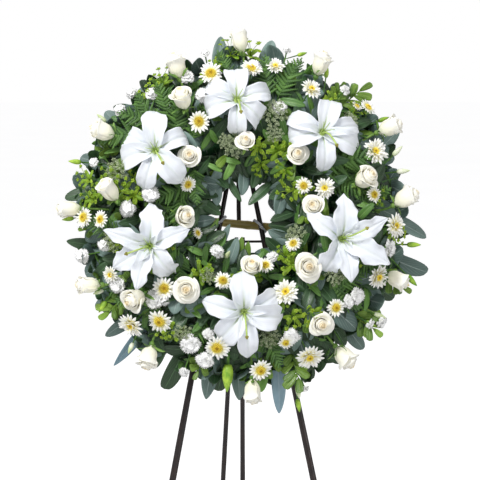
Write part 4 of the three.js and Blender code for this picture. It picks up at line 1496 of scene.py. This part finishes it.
# Fern fronds: bearing and reach of the base, bearing they point to, and length.
FERNS = [
    (318, 240, 290, 88), (316, 240, 322, 80), (322, 230, 345, 84), (312, 255, 262, 95),
    (12, 235, 350, 85), (16, 240, 25, 90), (59, 165, 110, 105), (57, 175, 80, 110),
    (60, 190, 130, 85), (66, 205, 60, 80), (303, 120, 250, 85), (295, 125, 215, 80),
    (288, 135, 180, 75), (240, 135, 220, 80), (236, 150, 300, 75), (240, 150, 180, 80),
    (136, 205, 105, 90), (134, 220, 65, 85), (146, 205, 140, 70), (235, 210, 195, 85),
    (232, 225, 245, 80), (355, 270, 340, 62), (319, 205, 0, 80), (325, 180, 20, 75),
    (315, 140, 180, 75), (172, 225, 150, 80), (200, 215, 215, 75), (262, 240, 285, 80),
    (85, 215, 60, 80), (110, 230, 120, 80), (0, 195, 20, 75), (278, 145, 250, 70),
]

# Umbels: bearing, reach and width.
UMBELS = [
    (290, 268, 46), (352, 138, 50), (345, 150, 30), (16, 212, 54), (260, 266, 44),
    (111, 100, 48), (124, 212, 40), (170, 240, 46), (209, 262, 38), (213, 135, 34),
    (20, 168, 34), (233, 265, 30), (48, 285, 36),
]

# Sprigs of yellow-green bracts: bearing and reach.
BRACTS = [
    (356, 350), (3, 345), (350, 320), (346, 300), (329, 330), (323, 320), (289, 248),
    (281, 225), (282, 262), (277, 320), (12, 128), (27, 138), (18, 92), (42, 100), (61, 96),
    (133, 92), (136, 118), (216, 282), (213, 272), (155, 228), (147, 242), (37, 295),
    (47, 322), (82, 278), (97, 318), (288, 285), (284, 335), (174, 108), (157, 180),
    (280, 300), (260, 262), (218, 130), (186, 118), (308, 205), (250, 160), (67, 118),
    (110, 250), (33, 152),
]

# Buds: bearing and reach of the base, bearing they point to, tilt, length, width, kind.
BUDS = [
    (187, 292, 183, 86, 58, 20, 0), (289, 338, 274, 80, 24, 11, 0), (239, 318, 214, 80, 24, 12, 0),
    (243, 312, 250, 80, 20, 10, 1), (127, 322, 112, 80, 24, 11, 1), (131, 318, 118, 80, 20, 10, 0),
    (110, 345, 138, 80, 30, 12, 0), (100, 330, 92, 80, 28, 11, 0), (68, 322, 45, 75, 26, 11, 1),
    (74, 318, 85, 75, 26, 11, 1), (31, 322, 8, 80, 22, 10, 0), (19, 340, 75, 80, 20, 8, 0),
    (163, 350, 170, 82, 26, 11, 1), (164, 376, 172, 82, 24, 12, 0), (205, 88, 30, 40, 22, 10, 1),
    (96, 125, 330, 30, 20, 11, 0), (92, 132, 10, 30, 18, 10, 0), (178, 330, 196, 80, 26, 11, 0),
    (305, 330, 310, 80, 22, 10, 1), (143, 330, 150, 80, 24, 11, 0), (222, 330, 205, 80, 22, 10, 1),
    (270, 335, 262, 80, 22, 10, 0), (336, 325, 352, 80, 20, 9, 1), (55, 330, 70, 80, 22, 10, 0),
]

# Twigs of small round-tipped leaves: bearing and reach of the base, bearing they point to,
# length.
TWIGS = [
    (301, 285, 272, 62), (41, 300, 58, 80), (38, 292, 40, 60), (112, 300, 125, 80),
    (132, 292, 135, 85), (160, 285, 176, 95), (237, 285, 232, 80), (329, 282, 322, 60),
    (267, 280, 262, 60), (196, 280, 205, 70), (18, 275, 12, 60), (168, 270, 185, 70),
]


def bed_patch(profile, sector, steps=10):
    """A sixth of the bed, in the wreath's frame, facing outwards."""
    low = SECTOR_ANGLE * (sector - 1)
    points = [spot(low + SECTOR_ANGLE * i / steps, reach, depth)
              for i in range(steps + 1) for reach, depth in profile]
    made = bpy.data.meshes.new("bed")
    made.from_pydata(points, [], quads(steps + 1, len(profile)))
    return made


def leaf_shapes(name, sizes, seed, blunt, fold, droop):
    """Leaves of several lengths and widths, in millimetres, lying along +Y."""
    meshes = []
    for k, (length, width) in enumerate(sizes):
        surface = Surface()
        leaf_blade(surface, Matrix.Identity(4), length * MM, width * MM,
                   random.Random(seed + k), 0.0, 0, 8, 5, fold, droop, blunt)
        stalk = [Vector((0, -10 * MM, -6 * MM)), Vector(), Vector((0, 4 * MM, 0))]
        tube(surface, stalk, [1 * MM, 0.9 * MM, 0.6 * MM], 5, 0.0)
        made = surface.mesh(name)
        made.attributes.remove(made.attributes["tone"])
        meshes.append(made)
    return shape_box(name, meshes)


OVATE = leaf_shapes("ovate_leaf", [(62, 28), (54, 25), (70, 30), (48, 24)], 1, 0.7, 0.3, 0.25)
BROAD = leaf_shapes("broad_leaf", [(66, 38), (58, 34), (74, 40)], 11, 0.6, 0.2, 0.3)
SLIM = leaf_shapes("slim_leaf", [(52, 15), (44, 13), (60, 17), (40, 14)], 21, 0.55, 0.3, 0.2)
ROUND = leaf_shapes("round_tipped_leaf", [(34, 17), (28, 15), (38, 18)], 31, 0.25, 0.2, 0.15)

# Passes of leaves over the bed: shapes, bed, finish, distance, swing, least and most lift,
# smallest and largest size, seed.
LEAF_PASSES = [
    (OVATE, DEEP_BED, DEEP_LEAF, 13 * MM, 1.5, 0.02, 0.45, 0.85, 1.2, 3),
    (BROAD, DEEP_BED, GREY_LEAF, 44 * MM, 1.0, 0.1, 0.55, 0.8, 1.1, 5),
    (SLIM, UPPER_BED, MID_LEAF, 26 * MM, 1.6, 0.2, 0.9, 0.65, 1.0, 7),
    (BROAD, UPPER_BED, GREY_LEAF, 64 * MM, 1.2, 0.12, 0.5, 0.8, 1.1, 15),
    (OVATE, UPPER_BED, DEEP_LEAF, 34 * MM, 1.4, 0.15, 0.7, 0.7, 1.0, 9),
    (ROUND, UPPER_BED, LIGHT_LEAF, 50 * MM, 1.8, 0.3, 1.0, 0.7, 1.1, 11),
]


def leaf_bed(sector):
    """A sixth of the bed, covered with leaves of several kinds."""
    return [grow("leaves", bed_patch(bed, sector), SCATTER, [finish] * 3, Shapes=shapes,
                 Distance=gap, Swing=swing, Least_lift=low, Most_lift=high, Smallest=small,
                 Largest=large, Seed=seed * 10 + sector)
            for shapes, bed, finish, gap, swing, low, high, small, large, seed in LEAF_PASSES]


RIM_ROOT = 262


def long_leaves(sector):
    """The long rim leaves and the leaves in the hole that belong to a sixth of the wreath."""
    rng = random.Random(300 + sector)
    made = {}
    for bearing, reach, depth, root_bearing, width, finish, blunt in RIM_LEAVES:
        if in_sector(bearing, sector):
            ends = spot(root_bearing, RIM_ROOT, 14), spot(bearing, reach, depth)
            made.setdefault(finish.name, []).append((*ends, width, blunt, 0.12))
    for bearing, reach, root_bearing, root_reach, width, finish in HOLE_LEAVES:
        if in_sector(root_bearing, sector):
            ends = spot(root_bearing, root_reach, 14), spot(bearing, reach, 30)
            made.setdefault(finish.name, []).append((*ends, width, 0.7, 0.1))
    meshes = []
    for finish_name, leaves in made.items():
        surface = Surface()
        for root, tip, width, blunt, droop in leaves:
            along = (tip - root).normalized()
            roll = Matrix.Rotation(rng.uniform(-0.5, 0.5), 4, "Y")
            leaf_blade(surface, Matrix.Translation(root) @ lying(along) @ roll,
                       (tip - root).length, width * MM, rng, rng.random(), 0, 12, 7, 0.22, droop,
                       blunt, 0.9 * MM)
            tube(surface, [root - along * 22 * MM - raised(16 * MM), root, root + along * 6 * MM],
                 [1.5 * MM, 1.3 * MM, 0.8 * MM], 6, 0.4)
        meshes.append(surface.mesh("long_leaves", [bpy.data.materials[finish_name]]))
    return meshes


FRONDS = shape_box("frond", [fern_frond(k).mesh("frond") for k in range(4)])
UMBEL_HEADS = shape_box("umbel", [umbel(k + 4).mesh("umbel") for k in range(3)])
BRACT_SPRIGS = shape_box("bracts", [bupleurum(k + 8).mesh("bracts") for k in range(3)])
ROUND_TWIGS = shape_box("twig", [twig(k + 12).mesh("twig") for k in range(3)])
BUD_SHAPES = shape_box("bud", [bud(k + 16).mesh("bud") for k in range(3)])


def sprigs(rows, sector, rng, place, shapes=3):
    """Spots for the rows of a list that belong to a sixth of the wreath."""
    return [(place(rng, *row), rng.randrange(shapes), rng.random())
            for row in rows if in_sector(row[0], sector)]


def across_face(point, bearing, lift, size):
    """A matrix at a point: +Y points along a bearing of the face, lifted by some degrees."""
    return Matrix.Translation(point) @ lying(facing(90 - lift, bearing)) @ Matrix.Scale(size, 4)


def place_fern(rng, bearing, reach, aim, length):
    base = spot(bearing, reach, dome_depth(reach, 58))
    return across_face(base, aim, rng.uniform(8, 22), length * MM / FERN_LENGTH)


def place_umbel(rng, bearing, reach, width):
    aim = facing(60 * dome_slope(reach) + rng.uniform(-8, 8), bearing)
    size = width * MM / UMBEL_WIDTH
    base = spot(bearing, reach, dome_depth(reach, 90)) - aim * 32 * MM * size
    return pose(base, aim, rng.uniform(0, 360), size)


def place_bracts(rng, bearing, reach):
    aim = facing(62 * dome_slope(reach) + rng.uniform(-10, 10), bearing)
    base = spot(bearing, reach, dome_depth(reach, 94)) - aim * 34 * MM
    return pose(base, aim, rng.uniform(0, 360), rng.uniform(0.6, 0.8))


def place_twig(rng, bearing, reach, aim, length):
    return across_face(spot(bearing, reach - 14, 24), aim, rng.uniform(5, 20),
                       length / TWIG_REACH)


def place_bud(rng, bearing, reach, aim, tilt, length, width, _kind):
    base = spot(bearing, reach, dome_depth(reach, 60))
    return pose(base, facing(tilt, aim), rng.uniform(0, 360), (length + width * 2) / 44)


def fillers(sector):
    """Ferns, umbels, bracts, twigs and buds of a sixth of the wreath."""
    rng = random.Random(500 + sector)
    kinds = [
        (sprigs(FERNS, sector, rng, place_fern, 4), FRONDS, (FERN_LEAF,) * 3),
        (sprigs(UMBELS, sector, rng, place_umbel), UMBEL_HEADS, (UMBEL_BEAD, STALK, STALK)),
        (sprigs(BRACTS, sector, rng, place_bracts), BRACT_SPRIGS, (FRESH_LEAF, FRESH_BEAD, STALK)),
        (sprigs(TWIGS, sector, rng, place_twig), ROUND_TWIGS, (LIGHT_LEAF, LIGHT_LEAF, STALK)),
    ]
    buds = sprigs(BUDS, sector, random.Random(400 + sector), place_bud)
    whites = [row[-1] for row in BUDS if in_sector(row[0], sector)]
    for white, finish in ((0, BUD_GREEN), (1, BUD_WHITE)):
        picked = [bud_spot for bud_spot, kind in zip(buds, whites) if kind == white]
        kinds.append((picked, BUD_SHAPES, (finish, STALK)))
    return [set_out("fillers", spots, shapes, *finishes)
            for spots, shapes, finishes in kinds if spots]


for k in range(1, SECTORS + 1):
    thing = piece(f"leaf_bed_{k:02d}", joined("leaf_bed", leaf_bed(k) + long_leaves(k)), WREATH)
    blooms.append((thing, "foliage", [f"greenery_{k:02d}"]))
    thing = piece(f"filler_sprigs_{k:02d}", joined("filler_sprigs", fillers(k)), WREATH)
    blooms.append((thing, "foliage", [f"greenery_{k:02d}"]))


# ---- The ring, its tray and the easel --------------------------------------------------------

CENTRE = WREATH.to_translation()

# Millimetres in the wreath's frame. Places are across, up and out of its face.
LEG_PLANE = -62
APEX_RISE = 165
APEX_HALF_SPREAD = 7
FRONT_FOOT_HALF_SPREAD = 200
FRONT_FOOT_RADIUS = 8.1
REAR_FOOT_HALF_SPREAD = 28
REAR_FOOT_RADIUS = 5.6
REAR_TOP = (6.5, -36, -76.8)
REAR_FOOT_SETBACK = 380
POLE_TOP_RADIUS = 4.5
POLE_BOW = 1.2 * MM
POLE_END = 0.86
POST_TOP = (0, 150, -64)
POST_BOTTOM = (0, -15, -93)
CROSSBAR_MIDDLE = (0, -9, -77)
CROSSBAR_LENGTH = 330
CROSSBAR_RADIUS = 8.4
CROSSBAR_SLOPE = math.radians(-6)
CROSSBAR_JOINTS = (-0.35, 0.05, 0.42)
JOINT_SWELL, JOINT_WIDTH = 1.1, 5
GROOVE_DEPTH, GROOVE_WIDTH = 0.7, 1.6
RAIL_MIDDLE = (0, -45, -69.9)
RAIL_LENGTH = 116
RAIL_RADIUS = 2.5
BINDING_LOW = 132
BINDING_HIGH = 160
BINDING_TURNS = 13
BINDING_WIRE = 1.12 * MM
TIE_PLANE = -72.5
TIE_REACH = 18
TIE_TURNS = 3
LOOP_MIDDLE = (0, 166, -57)
LOOP_HALF_WIDTH = 25
LOOP_HALF_HEIGHT = 35
LOOP_TILT = math.radians(-15)
ALMOST_ROUND = 0.998


def in_wreath(u, v, w):
    """A point of the object from millimetres across, up and out of the wreath's face."""
    return WREATH @ from_mm((u, v, w))


def from_mm(point):
    return Vector(point) * MM


LEG_LINE = in_wreath(0, 0, LEG_PLANE)
FRONT_FOOT_Y = LEG_LINE.y - LEG_LINE.z * math.tan(LEAN)


def pole(name, foot, top, foot_radius, seed):
    """A tapered, slightly uneven black pole with level ends and softened edges."""
    rng = random.Random(seed)
    phases = [rng.uniform(0, TURN) for _ in range(4)]
    rows, sides = 44, 24
    points, uvs = [], []
    for i in range(rows + 1):
        t = i / rows
        middle = foot.lerp(top, t) + level(phases[0]) * math.sin(math.pi * t) * POLE_BOW
        radius = (foot_radius + (POLE_TOP_RADIUS - foot_radius) * t) * MM
        radius *= 1 + 0.02 * math.sin(phases[1] + 19 * t) + 0.012 * math.sin(phases[2] + 47 * t)
        if i in (0, rows):
            radius *= POLE_END
        for j in range(sides):
            angle = TURN * j / sides
            facet = 1 + 0.02 * math.sin(3 * angle + phases[3] + 4 * t)
            points.append(middle + level(angle) * radius * facet)
            uvs.append((j / sides, t))
    surface = Surface()
    surface.add(points, closed_rings(rows + 1, sides), uvs)
    return surface.object(name, [POLE_BLACK])


def swollen_bar(name, middle, axis, length, radius, joints, sides, finish):
    """A round bar in the wreath's frame with a raised ring and a groove at each joint."""
    rows = 66
    path, radii = [], []
    for i in range(rows + 1):
        t = i / rows - 0.5
        path.append(from_mm(middle) + axis * t * length * MM)
        swell = sum(JOINT_SWELL * math.exp(-((t - at) * length / JOINT_WIDTH) ** 2)
                    - GROOVE_DEPTH * math.exp(-((t - at) * length / GROOVE_WIDTH) ** 2)
                    for at in joints)
        radii.append((radius * (0.9 if i in (0, rows) else 1.0) + swell) * MM)
    surface = Surface()
    tube(surface, path, radii, sides)
    return surface.object(name, [finish], WREATH)


def twisted_wire(surface, path, radius, twists):
    """Two thin wires twisted round each other along a path."""
    for strand in range(2):
        wound = []
        for i, point in enumerate(path):
            along = direction_at(path, i)
            angle = TURN * (twists * i / (len(path) - 1) + strand / 2)
            side = Quaternion(along, angle) @ along.orthogonal().normalized()
            wound.append(point + side * radius)
        tube(surface, wound, radius, 6)


def wire_tie(name, side):
    """A twisted wire slantwise round a leg and the crossbar, with its ends twisted off."""
    drop = APEX_RISE - CROSSBAR_MIDDLE[1]
    apex = in_wreath(0, APEX_RISE, LEG_PLANE).z / MM
    spread = (FRONT_FOOT_HALF_SPREAD - APEX_HALF_SPREAD) / apex
    right = side * (APEX_HALF_SPREAD + drop * math.cos(LEAN) * spread)
    middle = Vector((right, CROSSBAR_MIDDLE[1] + right * math.tan(CROSSBAR_SLOPE), TIE_PLANE))
    across = level(-side * TURN / 8)
    axis = across.cross(OUT)
    steps = 180
    path = []
    for i in range(steps + 1):
        share = i / steps
        angle = TURN * TIE_TURNS * share * ALMOST_ROUND + TURN / 4
        ring = across * math.cos(angle) + OUT * math.sin(angle)
        path.append((middle + ring * (TIE_REACH - 0.6) + axis * 5 * (share - 0.5)) * MM)
    surface = Surface()
    twisted_wire(surface, path, 0.7 * MM, 70)
    end = middle + OUT * (TIE_REACH - 0.5)
    tail = [(end + across * side * 0.5 * k + OUT * 0.9 * k * (1 - k / 24)) * MM for k in range(13)]
    twisted_wire(surface, tail, 0.55 * MM, 5)
    return surface.object(name, [WIRE], WREATH)


def hanging_loop(name):
    """A loop of twisted wire above the apex, tilted back."""
    steps = 96
    path = []
    for i in range(steps + 1):
        angle = TURN * i / steps * ALMOST_ROUND
        lift = LOOP_HALF_HEIGHT * math.sin(angle)
        path.append(from_mm(LOOP_MIDDLE) + from_mm((LOOP_HALF_WIDTH * math.cos(angle),
                                                    lift * math.cos(LOOP_TILT),
                                                    lift * math.sin(LOOP_TILT))))
    surface = Surface()
    twisted_wire(surface, path, 0.75 * MM, 34)
    return surface.object(name, [WIRE], WREATH)


def squared(value):
    """A sine or cosine that makes a circle squarer."""
    return math.copysign(abs(value) ** 0.75, value)


def apex_binding(name):
    """Dark wire wound tightly round the tops of the legs and the post."""
    per_turn = 28
    steps = BINDING_TURNS * per_turn
    path = []
    for i in range(steps + 1):
        rise = BINDING_LOW + 1.5 + (BINDING_HIGH - BINDING_LOW - 3) * i / steps
        angle = TURN * i / per_turn
        half = APEX_HALF_SPREAD + (APEX_RISE - rise) * 0.2 + 5.6
        path.append(from_mm((half * squared(math.cos(angle)), rise,
                             LEG_PLANE + 6.4 * squared(math.sin(angle)))))
    surface = Surface()
    tube(surface, path, BINDING_WIRE, 6)
    return surface.object(name, [DARK_WIRE], WREATH)


def turned(name, outline, steps, finish, rough=0.0, extra=()):
    """A ring turned from a closed outline of [reach, depth] points."""
    rng = random.Random(7)
    columns = len(outline)
    points, uvs = [], []
    for i in range(steps):
        for j, (reach, depth) in enumerate(outline):
            jitter = rng.uniform(-rough, rough)
            points.append(spot(360 * i / steps, reach + jitter,
                               depth + rng.uniform(-rough, rough)))
            uvs.append((j / columns, i / steps))
    faces = [[corner % len(points) for corner in face] for face in quads(steps + 1, columns, True)]
    surface = Surface()
    surface.add(points, faces, uvs)
    return piece(name, joined(name, [surface.mesh(name, [finish]), *extra]), WREATH)


def tray_ribs():
    """Short ribs across the back of the tray."""
    half, depth, taper = 0.016, 0.03, 0.6
    outline = [(-half, 0.0), (half, 0.0), (half * taper, depth), (-half * taper, depth)]
    points = [Vector((x, y, -z)) for y in (0.0, 1.0) for x, z in outline]
    surface = Surface()
    surface.add(points, closed_rings(2, 4), [(0.5, 0.5)] * 8)
    rib = bpy.data.objects.new("rib", surface.mesh("rib"))
    return grow("ribs", point_mesh([]), RING, [TRAY] * 3, Shape=rib, Count=36,
                Radius=146 * MM, Rise=-45 * MM, Lift=0.0, Lift_spread=0.0, Stray=0.0,
                Size=88 * MM, Least=1.0, Seed=0)


def smooth_outline(corners, softness):
    """A closed outline with each corner cut twice, so that its edges catch the light."""
    made = []
    for k, (x, y) in enumerate(corners):
        before, after = corners[k - 1], corners[(k + 1) % len(corners)]
        for (px, py), share in ((before, 1.0), (before, 0.3), (after, 0.3), (after, 1.0)):
            away = math.hypot(px - x, py - y)
            step = min(softness * share, away * 0.45)
            made.append((x + (px - x) / away * step, y + (py - y) / away * step))
    return made


FOAM_OUTLINE = [(240, -41.5), (240, 8), (222, 28), (158, 28), (140, 8), (140, -41.5)]
TRAY_OUTLINE = [(243.5, -45), (243.5, -27), (240.6, -27), (240.6, -41.9), (139.4, -41.9),
                (139.4, -27), (136.5, -27), (136.5, -45), (160, -45), (162, -46.2), (166, -46.2),
                (168, -45), (212, -45), (214, -46.2), (218, -46.2), (220, -45)]

frame_pieces = [
    (turned("foam_block_ring", smooth_outline(FOAM_OUTLINE, 4), 120, FOAM, 0.35),
     "floral_foam", ["foam_ring"]),
    (turned("ribbed_tray", smooth_outline(TRAY_OUTLINE, 0.8), 144, TRAY, 0.0, [tray_ribs()]),
     "tray_plastic", ["backing_tray"]),
]
for side, label in ((-1, "left"), (1, "right")):
    foot = Vector((CENTRE.x + side * FRONT_FOOT_HALF_SPREAD * MM, FRONT_FOOT_Y, 0))
    top = in_wreath(side * APEX_HALF_SPREAD, APEX_RISE, LEG_PLANE)
    thing = pole(f"front_pole_{label}", foot, top, FRONT_FOOT_RADIUS, 5 + side)
    frame_pieces.append((thing, "painted_pole", [f"front_leg_{label}"]))
    foot = Vector((CENTRE.x + side * REAR_FOOT_HALF_SPREAD * MM,
                   FRONT_FOOT_Y + REAR_FOOT_SETBACK * MM, 0))
    top = in_wreath(side * REAR_TOP[0], *REAR_TOP[1:])
    thing = pole(f"rear_pole_{label}", foot, top, REAR_FOOT_RADIUS, 8 + side)
    frame_pieces.append((thing, "painted_pole", [f"rear_leg_{label}"]))
    frame_pieces.append((wire_tie(f"twisted_tie_{label}", side), "wire", [f"wire_tie_{label}"]))
frame_pieces += [
    (pole("middle_post", in_wreath(*POST_BOTTOM), in_wreath(*POST_TOP), POLE_TOP_RADIUS, 12),
     "painted_pole", ["centre_post"]),
    (swollen_bar("rail_bar", RAIL_MIDDLE, Vector((1, 0, 0)), RAIL_LENGTH, RAIL_RADIUS, (), 16,
                 POLE_BLACK), "painted_pole", ["lower_rail"]),
    (swollen_bar("cane_crossbar", CROSSBAR_MIDDLE, level(CROSSBAR_SLOPE), CROSSBAR_LENGTH,
                 CROSSBAR_RADIUS, CROSSBAR_JOINTS, 28, CANE), "cane", ["crossbar"]),
    (apex_binding("wound_binding"), "wire", ["apex_binding"]),
    (hanging_loop("wire_hanger"), "wire", ["hanging_loop"]),
]

for thing, slot_name, nodes in blooms + frame_pieces:
    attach(thing, "root")
    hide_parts(*nodes)


# ---- Floor, light and camera ---------------------------------------------------------------

WHITE = (1, 1, 1, 1)
SURROUND = 0.57
FLOOR_REACH = 80.0
CAMERA_AZIMUTH = math.radians(-4.5)
CAMERA_ELEVATION = math.radians(6)
CAMERA_DISTANCE = 3.0
CAMERA_LENS = 112.5
CAMERA_SENSOR = 36
CAMERA_DROP = 44 * MM
CAMERA_SHIFT = 5 * MM


def seen_by_camera(recipe):
    return recipe.node("ShaderNodeLightPath").outputs["Is Camera Ray"]


def studio_floor():
    """A pale floor that glows for the camera only."""
    made = bpy.data.meshes.new("floor")
    corners = ((-1, -1), (1, -1), (1, 1), (-1, 1))
    made.from_pydata([(x * FLOOR_REACH, y * FLOOR_REACH, 0) for x, y in corners], [],
                     [(0, 1, 2, 3)])
    recipe = Finish("floor_pale", 0.8, Specular_IOR_Level=0.0)
    colour = recipe.mix(recipe.blotch, (0.72, 0.72, 0.73, 1), (0.74, 0.74, 0.745, 1))
    recipe.done(colour, recipe.fade(recipe.grain, 0.0, 1.0, 0.8, 0.9))
    glow = recipe.times(seen_by_camera(recipe), SURROUND)
    recipe.plug(recipe.shader.inputs["Emission Color"], WHITE)
    recipe.plug(recipe.shader.inputs["Emission Strength"], glow)
    made.materials.append(recipe.material)
    linked("studio_floor", made)


def studio_world():
    """White surroundings, fully bright for the camera only."""
    world = bpy.data.worlds.new("studio")
    world.use_nodes = True
    world.node_tree.nodes.clear()
    recipe = Recipe(world.node_tree)
    strength = recipe.plus(SURROUND, recipe.times(seen_by_camera(recipe), 1 - SURROUND))
    back = recipe.node("ShaderNodeBackground", {"Color": WHITE, "Strength": strength})
    recipe.node("ShaderNodeOutputWorld", {0: back.outputs[0]})
    bpy.context.scene.world = world


def aimed(name, data, place, back):
    """A lamp or a camera at a place, with a direction behind it."""
    thing = linked(name, data)
    thing.location = place
    thing.rotation_mode = "QUATERNION"
    thing.rotation_quaternion = back.to_track_quat("Z", "Y")
    return thing


def softbox(name, place, size, power):
    """A round soft light at a place seen from the wreath's middle."""
    data = bpy.data.lights.new(name, "AREA")
    data.shape = "DISK"
    data.size = size
    data.energy = power
    aimed(name, data, CENTRE + Vector(place), Vector(place)).visible_camera = False


def camera():
    """A camera before the wreath, a little to its left and above it."""
    right = level(CAMERA_AZIMUTH)
    back = Vector((right.y, -right.x, 0)) * math.cos(CAMERA_ELEVATION)
    back += raised(math.sin(CAMERA_ELEVATION))
    up = back.cross(right)
    data = bpy.data.cameras.new("camera")
    data.lens = CAMERA_LENS
    data.sensor_width = CAMERA_SENSOR
    data.clip_end = 200
    eye = CENTRE - up * CAMERA_DROP - right * CAMERA_SHIFT + back * CAMERA_DISTANCE
    bpy.context.scene.camera = aimed("camera", data, eye, back)


studio_floor()
studio_world()
softbox("key_light", (-1.6, -1.9, 2.4), 0.9, 96)
softbox("fill_light", (2.4, -2.6, 0.6), 2.2, 19)
camera()
bpy.context.scene.view_settings.view_transform = "Standard"
